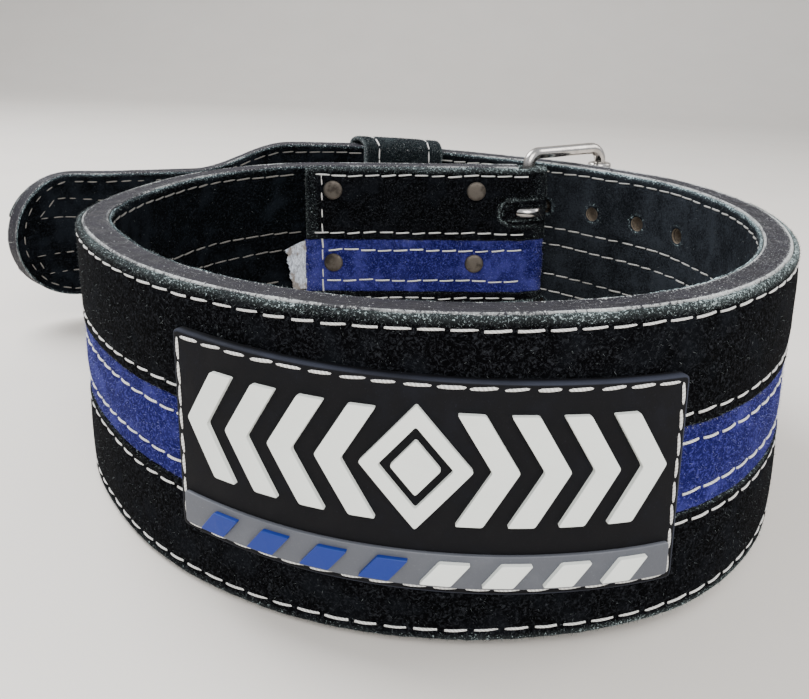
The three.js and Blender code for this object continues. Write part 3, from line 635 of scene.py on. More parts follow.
# %% Floor, rising behind the belt in one sweep
sweep = [(-2.5, 0.0), (1.6, 0.0)] + [
    (1.6 + 0.8 * math.sin(a), 0.8 - 0.8 * math.cos(a)) for a in np.linspace(0.1, math.pi / 2, 14)
] + [(2.4, 3.0)]
floor_mesh = bpy.data.meshes.new("floor")
floor_mesh.from_pydata(
    [(x, y, z) for y, z in sweep for x in (-4, 4)], [],
    [(2 * i, 2 * i + 1, 2 * i + 3, 2 * i + 2) for i in range(len(sweep) - 1)]
)
floor = bpy.data.objects.new("floor", floor_mesh)
floor_mesh.materials.append(floor_paint)
floor_mesh.polygons.foreach_set("use_smooth", [True] * len(floor_mesh.polygons))
add_to_scene(floor)
floor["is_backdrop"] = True

# %% [markdown]
# ## Making pieces
# A piece of the strip is a loft: rings of points at stations along the path, skinned into one
# closed body. Each point remembers where it lies on the strip, and how near a worn edge.


# %% Lofting and finishing a piece
def wander(x, wave, seed, size=1.0):
    """A smooth uneven line, always the same for a seed."""
    dice = np.random.default_rng(seed)
    total = 0
    for k in range(4):
        total = total + np.sin(2 * np.pi * (x / wave * 1.7**k + dice.random())) / 1.5**k
    return total * size / 2.2


def finish(name, points, faces, material, nodes=(), edge=None, uv=None, smooth=True):
    """A scene object from points and faces, turned the right way out and riding on the belt."""
    mesh = bpy.data.meshes.new(name)
    points = np.asarray(points)
    tri = np.array([(f[0], f[i], f[i + 1]) for f in faces for i in range(1, len(f) - 1)])
    a, b, c = (points[tri[:, k]] - points.mean(0) for k in range(3))
    if np.einsum("ij,ij->i", a, np.cross(b, c)).sum() < 0:
        faces = [tuple(reversed(f)) for f in faces]
    mesh.from_pydata(points.tolist(), [], faces)
    if edge is not None:
        mesh.attributes.new("edge", "FLOAT", "POINT").data.foreach_set(
            "value", np.asarray(edge, float).ravel()
        )
    if uv is not None:
        corner = np.empty(len(mesh.loops), int)
        mesh.loops.foreach_get("vertex_index", corner)
        mesh.uv_layers.new(name="strip").data.foreach_set(
            "uv", np.asarray(uv, float).reshape(-1, 2)[corner].ravel()
        )
    mesh.polygons.foreach_set("use_smooth", [smooth] * len(mesh.polygons))
    mesh.materials.append(material)
    mesh.update()
    piece = bpy.data.objects.new(name, mesh)
    add_to_scene(piece)
    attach(piece, "root")
    if nodes:
        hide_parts(*nodes)
    return piece


def skin(rows, ring, closed=False):
    """Faces over rows of rings, with the ends capped or joined."""
    faces = []
    for i in range(rows if closed else rows - 1):
        n = (i + 1) % rows
        faces += [
            (i * ring + j, i * ring + (j + 1) % ring, n * ring + (j + 1) % ring, n * ring + j)
            for j in range(ring)
        ]
    if not closed:
        faces += [tuple(range(ring))[::-1], tuple((rows - 1) * ring + j for j in range(ring))]
    return faces


def bake(piece):
    """The piece as its modifiers make it, with the modifiers gone."""
    mesh = bpy.data.meshes.new_from_object(piece.evaluated_get(bpy.context.evaluated_depsgraph_get()))
    piece.modifiers.clear()
    piece.data = mesh
    return piece


def crease(offsets, seams, depth=0.45, width=0.95):
    """How far the thread pulls the suede in at each height."""
    return -depth * np.exp(-((offsets[..., None] - seams) / width) ** 2).sum(-1)


# %% [markdown]
# ## The leather core
# The core is what makes the belt stiff: nearly 10 mm of leather, cut square, its edge dyed and
# burnished. It shows as the smooth dark top of the rim. Its corners are rounded by use, and the
# dye has rubbed away along them.

# %% Core
s = stations(FOLD_RUN)
corner = 1.1
bow = [(corner * (1 - math.sin(a)), corner * (1 - math.cos(a))) for a in np.linspace(math.pi / 2, 0, 5)]
profile = []
for side_out, side_up in ((1, 1), (-1, 1), (-1, -1), (1, -1)):
    arc = [(side_out * (CORE_FACE - into), side_up, down) for into, down in bow]
    profile += arc if side_out * side_up > 0 else arc[::-1]
    if side_out > 0 and side_up > 0:
        profile += [(x, 1, 0.0) for x in (2.6, 1.3, 0, -1.3, -2.6)]
    if side_out < 0 and side_up < 0:
        profile += [(x, -1, 0.0) for x in (-2.6, 0, 2.6)]
out = np.array([p[0] for p in profile])[None, :]
end = np.array([p[1] for p in profile])[None, :]
down = np.array([p[2] for p in profile])[None, :]
uneven = wander(s, 60, 1, 0.25)[:, None] + wander(s, 9, 2, 0.12)[:, None]
dish = -0.25 * (1 - (out / CORE_FACE) ** 2)
height = MID + end * (half_width(s)[:, None] - down + (uneven - 0.2 + dish) * (down == 0))
outer_corner, inner_corner = (
    np.exp(-((out - at) / 0.8) ** 2) for at in (CORE_FACE - 0.4, -CORE_FACE + 0.4)
)
edge = np.where(down == 0, 0.3, 0.55) + 0.65 * outer_corner + 0.35 * inner_corner
uv = np.stack(np.broadcast_arrays(s[:, None] * MM, out * MM), -1)
core = finish("belt_leather", on_strip(s[:, None], height, out).reshape(-1, 3), skin(len(s), len(profile)),
              leather, ["leather_core"], np.broadcast_to(edge, height.shape), uv)
print("core", len(core.data.polygons), "faces")

# %% [markdown]
# ## The lining
# A thin suede on the inside, glued and then sewn through. The rows of thread pull shallow
# channels into it, and its cut edge has gone pale and fuzzy at the rim.


# %% Lining
def edges_near(height, low, high, reach=2.5):
    """How worn a point is by how near it lies to either cut edge."""
    return np.clip(1 - np.minimum(height - low, high - height) / reach, 0, 1) ** 1.5


def hole_halo(s, height, reach=2.4):
    """Wear round the prong holes."""
    spots = [(p, h) for p in HOLE_PLACES for h in PRONG_HEIGHTS]
    away = np.min([np.hypot(s - p, height - h) for p, h in spots], axis=0) - HOLE / 2
    return np.clip(1 - np.abs(away) / reach, 0, 1)


by_edges = {0, 0.25, 0.6, 1.2, 2.2, *np.linspace(3.4, 96.6, 45), 97.8, 98.8, 99.4, 99.75, 100}
by_seams = {round(h + d, 2) for h in SEAMS for d in (-1.5, -0.8, 0, 0.8, 1.5)}
face_steps = np.array(sorted(by_edges | by_seams)) / 100
low, high = MID - half_width(s) + SKIN_INSET, MID + half_width(s) - SKIN_INSET
height_in = low[:, None] + (high - low)[:, None] * face_steps[None, :]
height_in = height_in + (
    wander(s, 25, 5, 0.2) + wander(s, 5, 6, 0.12)
)[:, None] * (np.abs(face_steps - 0.5) > 0.49)
nominal = SKIN_INSET + (BELT_WIDTH - 2 * SKIN_INSET) * face_steps
round_off = 0.5 * np.clip(1 - np.minimum(face_steps, 1 - face_steps) * 100 / 1.2, 0, 1) ** 2
swell = wander(s[:, None] + 40 * np.sin(nominal[None, :] / 17), 70, 7, 0.22)
out_in = LINING_IN + round_off[None, :] - crease(nominal, np.array(SEAMS))[None, :] * 0.8 + swell
ring_height = np.concatenate([height_in, height_in[:, [-1]], height_in[:, [0]]], 1)
ring_out = np.concatenate([out_in, np.full((len(s), 2), LINING_OUT)], 1)
ring_edge = np.concatenate([edges_near(height_in, low[:, None], high[:, None]), np.ones((len(s), 2))], 1)
ring_edge = np.maximum(ring_edge, 0.9 * hole_halo(s[:, None], ring_height))
uv = np.stack(np.broadcast_arrays(s[:, None] * MM, ring_height * MM), -1)
lining = finish("belt_lining", on_strip(s[:, None], ring_height, ring_out).reshape(-1, 3),
                skin(len(s), ring_out.shape[1]), lining_suede, ["suede_lining"], ring_edge,
                uv)
print("lining", len(lining.data.polygons), "faces")

# %% [markdown]
# ## The facing
# Three lengths of suede face the belt: a black one above, a black one below, and the blue stripe
# between them. Each is cut long, turned round the heel bar of the buckle and brought back inside as
# the flap. The outer edges are rolled over by hand and worn; the edges along the stripe are cut.


# %% Path of the facing, from the flap's end round the heel bar to the tongue
def facing_path(flap_end, least):
    """Inner points and the way out of the suede in plan, with the distance along the strip."""
    wrap = WIRE / 2 + GAP
    ease = lambda s, far: wrap + (far - wrap) * np.clip(s / FOLD_RUN, 0, 1) ** 2 * (
        3 - 2 * np.clip(s / FOLD_RUN, 0, 1)
    )
    s_flap = np.concatenate([np.arange(flap_end, FOLD_RUN, -1.6), np.linspace(FOLD_RUN, 0, 8)])
    place, _, outward = along(s_flap)
    inner = [place - outward * ease(s_flap, -FLAP_OUT)[:, None]]
    away = [-outward]
    turns = np.linspace(0, math.pi, 18)[1:-1, None]
    heading, normal = along(0)[1:]
    ray = -normal * np.cos(turns) - heading * np.sin(turns)
    inner.append(FOLD + ray * wrap)
    away.append(ray)
    s_out = np.concatenate([np.linspace(0, FOLD_RUN, 8), stations(FOLD_RUN, 2.0, least)[1:]])
    place, _, outward = along(s_out)
    inner.append(place + outward * ease(s_out, FACING_IN)[:, None])
    away.append(outward)
    run = np.concatenate([s_flap, np.zeros(len(turns)), s_out])
    side = np.concatenate([-np.ones(len(s_flap)), np.zeros(len(turns)), np.ones(len(s_out))])
    return run, side, np.vstack(inner), np.vstack(away)


def facing_piece(
    name, node, near, far_at, seam_near, seam_far, thickness, least, flap_end, material, rolled
):
    """One length of the facing between its near edge and its far edge."""
    run, side, inner, away = facing_path(flap_end, least)
    far = far_at(run)
    up = 1 if far[0] > near else -1
    full = abs(far[0] - near)
    steps_near = [0, 0.15, 0.5, 1.2, 2.0, seam_near - 0.8, seam_near, seam_near + 0.8, seam_near + 1.8]
    steps_far = [0, 0.2, 0.6, 1.1, 1.8, 2.6, seam_far - 0.8, seam_far, seam_far + 0.8, seam_far + 1.8]
    inward = np.linspace(seam_near + 4, full - seam_far - 4, 9)
    offset = np.array([*steps_near, *inward, *(full - np.array(steps_far[::-1]))])
    span = np.abs(far - near)
    from_far = full - offset
    squeeze = np.minimum(1, span / full)[:, None]
    keep_far = (from_far < full / 2)[None, :]
    reach = np.where(keep_far, span[:, None] - from_far[None, :] * squeeze, offset[None, :] * squeeze)
    seed = sum(map(ord, name))
    rough = (wander(run, 30, seed, 0.25) + wander(run, 6, seed + 1, 0.16))[:, None]
    reach = reach + rough * np.clip(1 - np.minimum(offset, from_far) / 1.5, 0, 1)[None, :]
    roll_off = lambda d, r: r - np.sqrt(np.maximum(r**2 - np.clip(r - d, 0, r) ** 2, 0))
    drop = roll_off(from_far, rolled) + roll_off(offset, 0.45)
    seams = np.array([seam_near, full - seam_far])
    puff = 0.22 * np.sin(np.pi * np.clip((offset - seam_near) / (full - seam_far - seam_near), 0, 1))
    depth = thickness - np.minimum(drop, thickness - 0.1) + crease(offset, seams) + puff
    swell = wander(run[:, None] + 30 * np.sin(offset[None, :] / 11), 55, seed + 2, 0.18)
    outer = depth[None, :] + swell * np.clip(np.minimum(offset, from_far) / 3, 0, 1)[None, :]
    ring_depth = np.concatenate([outer, np.zeros((len(run), 2))], 1)
    ring_reach = np.concatenate([reach, reach[:, [-1]], reach[:, [0]]], 1)
    height = near + up * ring_reach
    plan = inner[:, None, :] + away[:, None, :] * ring_depth[..., None]
    points = placed(np.concatenate([plan, height[..., None]], -1))
    worn_far = np.clip(1 - from_far / 3.4, 0, 1) ** 0.8
    worn_near = 0.45 * np.clip(1 - offset / 1.2, 0, 1)
    edge = np.broadcast_to(np.maximum(worn_far * (1.0 if rolled > 1 else 0.4), worn_near), reach.shape)
    edge = np.concatenate([edge, edge[:, [-1]], edge[:, [0]]], 1)
    edge = np.maximum(edge, 0.8 * hole_halo(run[:, None], height) * (side[:, None] >= 0))
    edge = np.maximum(edge, 0.45 * np.clip((run - flap_end + 8.5) / 3, 0, 1)[:, None] * (side[:, None] < 0))
    to_slot = np.min(
        [
            np.hypot(np.maximum(run[:, None] - SLOT_LENGTH + SLOT_HEIGHT / 2, 0), height - h)
            for h in PRONG_HEIGHTS
        ],
        axis=0
    )
    edge = np.maximum(
        edge, 1.1 * np.clip(1 - np.abs(to_slot - SLOT_HEIGHT / 2 - 0.6) / 2.6, 0, 1) * (side[:, None] < 0)
    )
    flap_wear = np.clip(1 - np.abs(flap_end - run) / 2.0, 0, 1) * (side < 0)
    fold_wear = 0.35 * np.clip(1 - run / 4, 0, 1)
    edge = np.maximum(edge, np.maximum(flap_wear, fold_wear)[:, None])
    travelled = np.where(side < 0, -run, run)
    uv = np.stack(np.broadcast_arrays(travelled[:, None] * MM, height * MM), -1)
    return finish(
        name, points.reshape(-1, 3), skin(len(run), height.shape[1]), material, [node], edge, uv
    )


EDGE_UP, EDGE_DOWN = STRIPE_MID + (STRIPE_WIDTH + GAP) / 2, STRIPE_MID - (STRIPE_WIDTH + GAP) / 2


def top_edge(s):
    return MID + np.maximum(half_width(s) - SKIN_INSET, EDGE_UP - MID + 0.5)


def bottom_edge(s):
    return MID - np.maximum(half_width(s) - SKIN_INSET, MID - EDGE_DOWN + 0.5)


upper = facing_piece(
    "facing_top", "facing_upper", EDGE_UP, top_edge, SEAMS[1] - EDGE_UP, MID + MID - SKIN_INSET - SEAMS[0],
    FACING, EDGE_UP - MID + 2.5, FLAP_LENGTH, black_suede, 1.75
)
lower = facing_piece(
    "facing_bottom", "facing_lower", EDGE_DOWN, bottom_edge, EDGE_DOWN - SEAMS[4], SEAMS[5] - SKIN_INSET,
    FACING, MID - EDGE_DOWN + 2.5, FLAP_LENGTH, black_suede, 1.75
)
print("facing", len(upper.data.polygons) + len(lower.data.polygons), "faces")

# %% [markdown]
# The blue stripe lies a little lower than the black bands and is napped all over. On the inside it
# runs on past the flap, where its end was torn rather than cut and shows the pale raw hide.

# %% Blue stripe
stripe_low, stripe_high = STRIPE_MID - (STRIPE_WIDTH - GAP) / 2, STRIPE_MID + (STRIPE_WIDTH - GAP) / 2
stripe = facing_piece(
    "stripe_blue", "blue_stripe", stripe_low, lambda s: np.full(np.shape(s), stripe_high, float),
    SEAMS[3] - stripe_low, stripe_high - SEAMS[2], STRIPE, 17.0, FLAP_LENGTH + 0.8, blue_suede,
    0.5
)
rise = np.linspace(0, 1, 40)
reach_out = STRIPE_END - 5.2 + 4.4 * rise + wander(rise, 0.35, 71, 0.9) + np.random.default_rng(72).uniform(
    -0.45, 0.45, len(rise)
)
outward_share = np.linspace(0, 1, 16)
torn_s = FLAP_LENGTH + 0.4 + reach_out[:, None] * outward_share[None, :]
torn_h = stripe_low + 1.2 + (stripe_high - stripe_low - 1.6 - 4.0 * outward_share[None, :]) * rise[:, None]
curl = -1.9 * outward_share[None, :] ** 2 * (0.5 + 0.5 * rise[:, None]) + wander(
    torn_s + 3 * torn_h, 9, 73, 0.25
) * outward_share[None, :]
face_out = FLAP_OUT - STRIPE + curl
back_out = np.minimum(face_out + STRIPE * (1 - 0.7 * outward_share[None, :]), FLAP_OUT - 0.05)
ring_s = np.concatenate([torn_s, torn_s[:, ::-1]], 1)
ring_h = np.concatenate([torn_h, torn_h[:, ::-1]], 1)
ring_out = np.concatenate([face_out, back_out[:, ::-1]], 1)
torn = finish(
    "stripe_torn_end", on_strip(ring_s, ring_h, ring_out).reshape(-1, 3), skin(len(rise), ring_s.shape[1]),
    raw_hide
)
print("stripe", len(stripe.data.polygons), "faces, torn end", len(torn.data.polygons))


# %% [markdown]
# ## Holes and slots
# The prong holes are punched through every layer, and the fold is slotted round the heel bar so
# that each prong can turn on it.

# %% Punches
def punch_mesh():
    """All the punches as one body: round ones for the prong holes, rounded slots at the fold."""
    bm = bmesh.new()
    for s_hole in HOLE_PLACES:
        for h in PRONG_HEIGHTS:
            place, _, outward = along(s_hole)
            outward = PRONG_REACH if s_hole == PRONGS_AT else outward
            ends = placed([[*(place - outward * 14), h], [*(place + outward * 14), h]])
            axis = Vector(ends[1] - ends[0])
            turn = axis.to_track_quat("Z", "Y").to_matrix().to_4x4()
            turn.translation = Vector((ends[0] + ends[1]) / 2)
            bmesh.ops.create_cone(
                bm, cap_ends=True, segments=28, radius1=HOLE / 2 * MM, radius2=HOLE / 2 * MM,
                depth=axis.length, matrix=turn
            )
    _, heading, outward = along(0)
    for h in PRONG_HEIGHTS:
        half = SLOT_HEIGHT / 2
        bow = [
            (SLOT_LENGTH - half + half * math.cos(a), half * math.sin(a))
            for a in np.linspace(-math.pi / 2, math.pi / 2, 13)
        ]
        outline = [(-SLOT_BEHIND, -half), *bow, (-SLOT_BEHIND, half)]
        rings = []
        for depth in (-SLOT_DEEP, SLOT_OUT):
            points = placed([[*(FOLD + heading * x + outward * depth), h + y] for x, y in outline])
            rings.append([bm.verts.new(p) for p in points])
        count = len(outline)
        for j in range(count):
            k = (j + 1) % count
            bm.faces.new((rings[0][j], rings[0][k], rings[1][k], rings[1][j]))
        bm.faces.new(rings[0][::-1])
        bm.faces.new(rings[1])
    bmesh.ops.recalc_face_normals(bm, faces=bm.faces)
    mesh = bpy.data.meshes.new("punches")
    bm.to_mesh(mesh)
    return mesh


punches = bpy.data.objects.new("punches", punch_mesh())
punches.data.materials.append(hole_wall)
add_to_scene(punches)
for piece in (core, lining, upper, lower):
    modifier = piece.modifiers.new("punched", "BOOLEAN")
    modifier.operation, modifier.solver, modifier.object = "DIFFERENCE", "EXACT", punches
    modifier.material_mode = "TRANSFER"
    before = len(piece.data.polygons)
    bake(piece)
    print(piece.name, before, "->", len(piece.data.polygons), "faces")
bpy.data.objects.remove(punches)

# %% [markdown]
# ## The keeper
# A loop of worn suede that holds the tongue. It was bent round the belt wet, so it arches over the
# edges, and it is sewn down each side, a little in from its own edges.

# %% Keeper
middle = PRONGS_AT + KEEPER_PLACE
near_face, far_face = LINING_IN - GAP, FACING_OUT + GAP
centre, half_gap = (near_face + far_face) / 2, (far_face - near_face) / 2
straight = BELT_WIDTH / 2 - KEEPER_DROP
half_lane = np.array([13, 15.2, KEEPER_SEAM, 17.2, 19, 21, 23, 24.1, 24.7, 25])
lane = np.concatenate([-half_lane[::-1], np.linspace(-10, 10, 9), half_lane])
thick = KEEPER_THICKNESS - 0.9 * np.clip((np.abs(lane) - 23.6) / 1.4, 0, 1) ** 2 + crease(
    lane, np.array([-KEEPER_SEAM, KEEPER_SEAM]), 0.5, 1.0
)


def slid(out):
    """How far the loop has slid along at a depth: its outer side lies further on than its inner."""
    return KEEPER_SKEW * (out - centre) / (far_face - near_face)


arch = []
for side in (1, -1):
    arch += [(side, math.cos(a), math.sin(a)) for a in np.linspace(0, math.pi, 17)]
    arch += [(-side, None, t) for t in np.linspace(0, 1, 26)[1:-1]]
rings, wears = [], []
for side, across_share, rise in arch:
    ring = []
    for thickness in (0 * thick, thick):
        if across_share is None:
            height = np.full(len(lane), MID - side * straight * (1 - 2 * rise))
            out = centre + side * (half_gap + thickness)
        else:
            out = centre + side * (half_gap + thickness) * across_share
            height = MID + side * (straight + (KEEPER_RISE + thickness) * rise)
        ring.append((out, height))
    inner, outer = ring
    seam_wave = wander(np.array([outer[1].mean()]), 40, 31, 0.3)
    rings.append(np.concatenate([on_strip(middle + lane + slid(inner[0]), inner[1], inner[0]),
                                 on_strip(
                                     (middle + lane + seam_wave + slid(outer[0]))[::-1], outer[1][::-1],
                                     outer[0][::-1]
                                 )]))
    lip = np.clip((np.abs(lane) - 22.5) / 2.5, 0, 1)
    arched = 0.35 if across_share is not None else 0.0
    wears.append(np.concatenate([lip, np.maximum(lip, arched)[::-1]]))
keeper = finish(
    "keeper", np.concatenate(rings), skin(len(arch), 2 * len(lane), True), keeper_suede,
    ["keeper_loop"], np.concatenate(wears)
)
print("keeper", len(keeper.data.polygons), "faces")


# %% [markdown]
# ## The buckle
# A rectangle of plated wire with a free roller on its outer bar, and two prongs that turn on the
# heel bar. The roller is a strip of sheet rolled into a tube, so a seam runs along it.

# %% Wire
def wire_rings(path, across, diameter, widths=None, sides=24, closed=False):
    """Round wire along a flat path; across is the normal of the path's plane."""
    path, across = np.asarray(path, float), np.asarray(across, float)
    if closed:
        tangent = np.roll(path, -1, 0) - np.roll(path, 1, 0)
    else:
        tangent = np.gradient(path, axis=0)
    side = np.cross(unit(tangent), across)
    turn = np.linspace(0, 2 * np.pi, sides, endpoint=False)
    radius = diameter / 2 * (np.ones(len(path)) if widths is None else np.asarray(widths))
    ring = across[None, None, :] * np.cos(turn)[None, :, None] + side[:, None, :] * np.sin(turn)[
        None, :, None
    ]
    return path[:, None, :] + ring * radius[:, None, None]


half = MID + FRAME_CLEARANCE + WIRE / 2
heel_corner = FRAME_CLEARANCE + WIRE / 2
aside = np.array([-REACH[1], REACH[0], 0])
frame_path = []
corners = [(0, half, heel_corner, math.pi), (FRAME_REACH, half, ROLLER_CORNER, math.pi / 2),
           (FRAME_REACH, -half, ROLLER_CORNER, 0), (0, -half, heel_corner, -math.pi / 2)]
for reach, rise, radius, start in corners:
    x0 = radius if reach == 0 else reach - radius
    y0 = rise - math.copysign(radius, rise)
    for a in np.linspace(start, start - math.pi / 2, 14):
        frame_path.append([*(HEEL + REACH * (x0 + radius * math.cos(a))), MID + y0 + radius * math.sin(a)])
rings = wire_rings(frame_path, aside, WIRE, closed=True)
buckle = finish(
    "buckle", placed(rings.reshape(-1, 3)), skin(len(frame_path), 24, True), chrome,
    ["buckle_frame"]
)

# %% Roller
bore, rim, end = WIRE / 2 + GAP, ROLLER / 2, ROLLER_LENGTH / 2
# One end's section: radius, and how far in from the end
end_section = [(bore, 0.4), (bore + 0.3, 0), (rim - 0.8, 0), (rim - 0.25, 0.2), (rim, 0.8), (rim, 8)]
tube = [(r, d - end) for r, d in end_section] + [(rim, 0)]
tube += [(r, end - d) for r, d in end_section[::-1]] + [(bore, 0)]
spin = np.linspace(0, 2 * np.pi, 64, endpoint=False)
seam_dip = 1 - 0.09 * np.exp(-(((spin - 4.2 + np.pi) % (2 * np.pi) - np.pi) / 0.06) ** 2)
roller_place = HEEL + REACH * FRAME_REACH
rings = []
for a, d in zip(spin, seam_dip):
    radii = [r * (d if r > bore + 0.5 else 1) for r, _ in tube]
    rings.append([[roller_place[0] + r * math.cos(a), roller_place[1] + r * math.sin(a), MID + z]
                  for r, (_, z) in zip(radii, tube)])
rings = np.array(rings)
roller = finish(
    "roller", placed(rings.reshape(-1, 3)), skin(len(spin), len(tube), True), chrome,
    ["buckle_roller"]
)


# %% Prongs
def prong(name, node, h):
    eye_radius = WIRE / 2 + GAP + EYE_SLACK + PRONG_WIRE / 2
    reach3, side3 = np.array([*PRONG_REACH, 0]), np.array([-PRONG_REACH[1], PRONG_REACH[0], 0])
    centre = np.array([*(HEEL - PRONG_REACH * EYE_SLACK), h])
    turns = np.linspace(0, 2 * np.pi, 40, endpoint=False)
    eye_path = centre + eye_radius * (np.cos(turns)[:, None] * reach3 + np.sin(turns)[:, None] * side3)
    eye = wire_rings(eye_path, (0, 0, 1), PRONG_WIRE, closed=True)
    length = EYE_SLACK + FRAME_REACH * math.cos(FRAME_TURN) + PRONG_OVERRUN
    share = np.array([eye_radius / length, 0.3, 0.5, 0.8, 0.88, 0.93, 0.96, 0.98, 0.992, 1.0])
    width = np.interp(share, [eye_radius / length, 0.8, 0.93, 0.98, 1], [0.8, 1, 0.92, 0.7, 0.35])
    shank = wire_rings(centre + reach3 * (length * share)[:, None], (0, 0, 1), PRONG_WIRE, width)
    points = np.concatenate([eye.reshape(-1, 3), shank.reshape(-1, 3)])
    faces = skin(len(eye), 24, True) + [
        tuple(i + eye.shape[0] * 24 for i in f) for f in skin(len(shank), 24)
    ]
    return finish(name, placed(points), faces, chrome, [node])


prongs = [
    prong("prong_top", "prong_upper", PRONG_HEIGHTS[0]),
    prong("prong_bottom", "prong_lower", PRONG_HEIGHTS[1])
]
print("buckle", sum(len(p.data.polygons) for p in (buckle, roller, *prongs)), "faces")

# %% [markdown]
# ## The rivets
# Six rivets pin the flap. Each has a low domed cap on both faces, its metal browned with age, and
# sinks a little into the suede round it.

# %% Rivets
CAP = [
    (0.0, 1.0), (0.4, 0.985), (0.66, 0.94), (0.82, 0.85), (0.92, 0.68), (0.98, 0.42), (1.0, 0.2), (1.0, 0.0)
]
for column, s_rivet in enumerate(RIVET_COLUMNS):
    for row, h in enumerate(RIVET_HEIGHTS):
        skin_depth = STRIPE if h == MID else FACING
        inside, outside = FLAP_OUT - skin_depth - GAP, FACING_IN + skin_depth + GAP
        section = [
            (r * RIVET_CAP / 2, inside - RIVET_RISE * z) for r, z in CAP
        ] + [(2.0, inside), (2.0, outside)]
        section += [(r * RIVET_CAP / 2, outside + RIVET_RISE * z) for r, z in CAP[::-1]]
        section = [(max(r, 0.02), z) for r, z in section]
        place, heading, outward = along(s_rivet)
        spin = np.linspace(0, 2 * np.pi, 32, endpoint=False)
        rings = [
            [[*(place + outward * z + heading * r * math.cos(a)), h + r * math.sin(a)] for r, z in section]
            for a in spin
        ]
        count = len(section)
        faces = [
            (i * count + j, i * count + j + 1, (i + 1) % 32 * count + j + 1, (i + 1) % 32 * count + j)
            for i in range(32) for j in range(count - 1)
        ]
        faces += [
            tuple(i * count for i in range(32)), tuple(i * count + count - 1 for i in range(32))[::-1]
        ]
        finish(
            f"rivet_{column + 1}{row + 1}", placed(np.array(rings).reshape(-1, 3)), faces, rivet_metal,
            [f"rivet_{column + 1}_{row + 1}"]
        )

# %% [markdown]
# ## The rubber patch
# A moulded sheet, sewn to the front: a black panel, a grey band along its foot, and raised figures.
# Each part is drawn flat, its top edge rounded, and then laid on the curve of the belt.

# %% Laying flat shapes on the belt
PATCH_MIDDLE = TRAVEL[np.argmin(np.where(TRAVEL < PRONGS_AT, LINE[:, 1], 1e9))] + PATCH_SHIFT
PATCH_FACE = FACING_OUT + GAP + PATCH_THICKNESS
BAND_FACE = PATCH_FACE + GAP + BAND_RELIEF
PATCH_FOOT = MID + PATCH_LIFT - PATCH_HEIGHT / 2


def on_patch(right, rise, out):
    return on_strip(PATCH_MIDDLE + right, PATCH_FOOT + rise + PATCH_SLOPE * right, out)


def rounded(outline, radius, steps=5):
    """The outline with its corners rounded."""
    outline = [np.array(p, float) for p in outline]
    made = []
    for i, p in enumerate(outline):
        a, b = outline[i - 1] - p, outline[(i + 1) % len(outline)] - p
        cut = min(radius, 0.45 * np.linalg.norm(a), 0.45 * np.linalg.norm(b))
        a, b = p + a / np.linalg.norm(a) * cut, p + b / np.linalg.norm(b) * cut
        for t in np.linspace(0, 1, steps):
            made.append((1 - t) ** 2 * a + 2 * t * (1 - t) * p + t**2 * b)
    return made


def plate(name, node, outline, back, face, soften, material, slot, hole=None, slices=3.0):
    """A flat shape with a rounded top edge, laid on the belt's curve."""
    bm = bmesh.new()
    for loop in [outline] + ([hole] if hole else []):
        verts = [bm.verts.new((x, y, back)) for x, y in loop]
        for i, v in enumerate(verts):
            bm.edges.new((v, verts[(i + 1) % len(verts)]))
    bmesh.ops.triangle_fill(bm, edges=bm.edges[:], use_beauty=True)
    lifted = bmesh.ops.extrude_face_region(bm, geom=bm.faces[:])["geom"]
    top = [v for v in lifted if isinstance(v, bmesh.types.BMVert)]
    bmesh.ops.translate(bm, verts=top, vec=(0, 0, face - back))
    bm.normal_update()
    rim = [
        e for e in bm.edges
        if all(abs(v.co.z - face) < 1e-6 for v in e.verts) and e.calc_face_angle(0) > 0.5
    ]
    bmesh.ops.bevel(bm, geom=rim, offset=soften, segments=3, profile=0.6, affect="EDGES")
    xs = [x for x, _ in outline]
    for x in np.arange(min(xs) + slices / 2, max(xs), slices):
        bmesh.ops.bisect_plane(
            bm, geom=bm.verts[:] + bm.edges[:] + bm.faces[:], plane_co=(x, 0, 0), plane_no=(1, 0, 0)
        )
    bmesh.ops.recalc_face_normals(bm, faces=bm.faces)
    flat = np.array([v.co for v in bm.verts])
    bm.verts.index_update()
    faces = [tuple(v.index for v in f.verts) for f in bm.faces]
    bm.free()
    edge = (np.abs(flat[:, 2] - face) > 0.02) * (flat[:, 2] > back + 0.01) * 1.0
    piece = finish(name, on_patch(flat[:, 0], flat[:, 1], flat[:, 2]), faces, material, [node], edge)
    smooth_by_angle(piece)
    return piece


def smooth_by_angle(piece, angle=math.radians(38)):
    """Sharp edges stay sharp where the surface turns by more than the angle."""
    bm = bmesh.new()
    bm.from_mesh(piece.data)
    for e in bm.edges:
        e.smooth = e.calc_face_angle(0) < angle
    bm.to_mesh(piece.data)
    bm.free()


# %% Panel and band
def box_outline(left, low, right, high):
    return [(left, low), (right, low), (right, high), (left, high)]


half = PATCH_WIDTH / 2
plate(
    "patch", "patch_panel", rounded(box_outline(-half, 0, half, PATCH_HEIGHT), 2.2), FACING_OUT + GAP,
    PATCH_FACE, 1.0, black_rubber, "black_rubber"
)
plate(
    "patch_foot", "patch_band",
    rounded(box_outline(-half + BAND_INSET, BAND_INSET, half - BAND_INSET, BAND_HEIGHT), 1.2),
    PATCH_FACE + GAP - 0.25, BAND_FACE, 0.35, grey_rubber, "grey_rubber"
)

# %% Raised figures: a diamond between rows of chevrons, and slashes on the band
PATTERN_MID = (BAND_HEIGHT + PATCH_HEIGHT) / 2
DIAMOND_HEIGHT, DIAMOND_WIDTH, DIAMOND_LIMB, HEART_GAP = 37, 29, 5, 3
CHEVRON_HEIGHT, CHEVRON_PITCH, CHEVRON_LIMB, CHEVRON_POINT, CHEVRONS = 33, 13.2, 7, 9, 4
SLASHES, SLASH_WIDTH, SLASH_LEAN, SLASH_FOOT, SLASH_TOP = 8, 8, 5, 4, 11


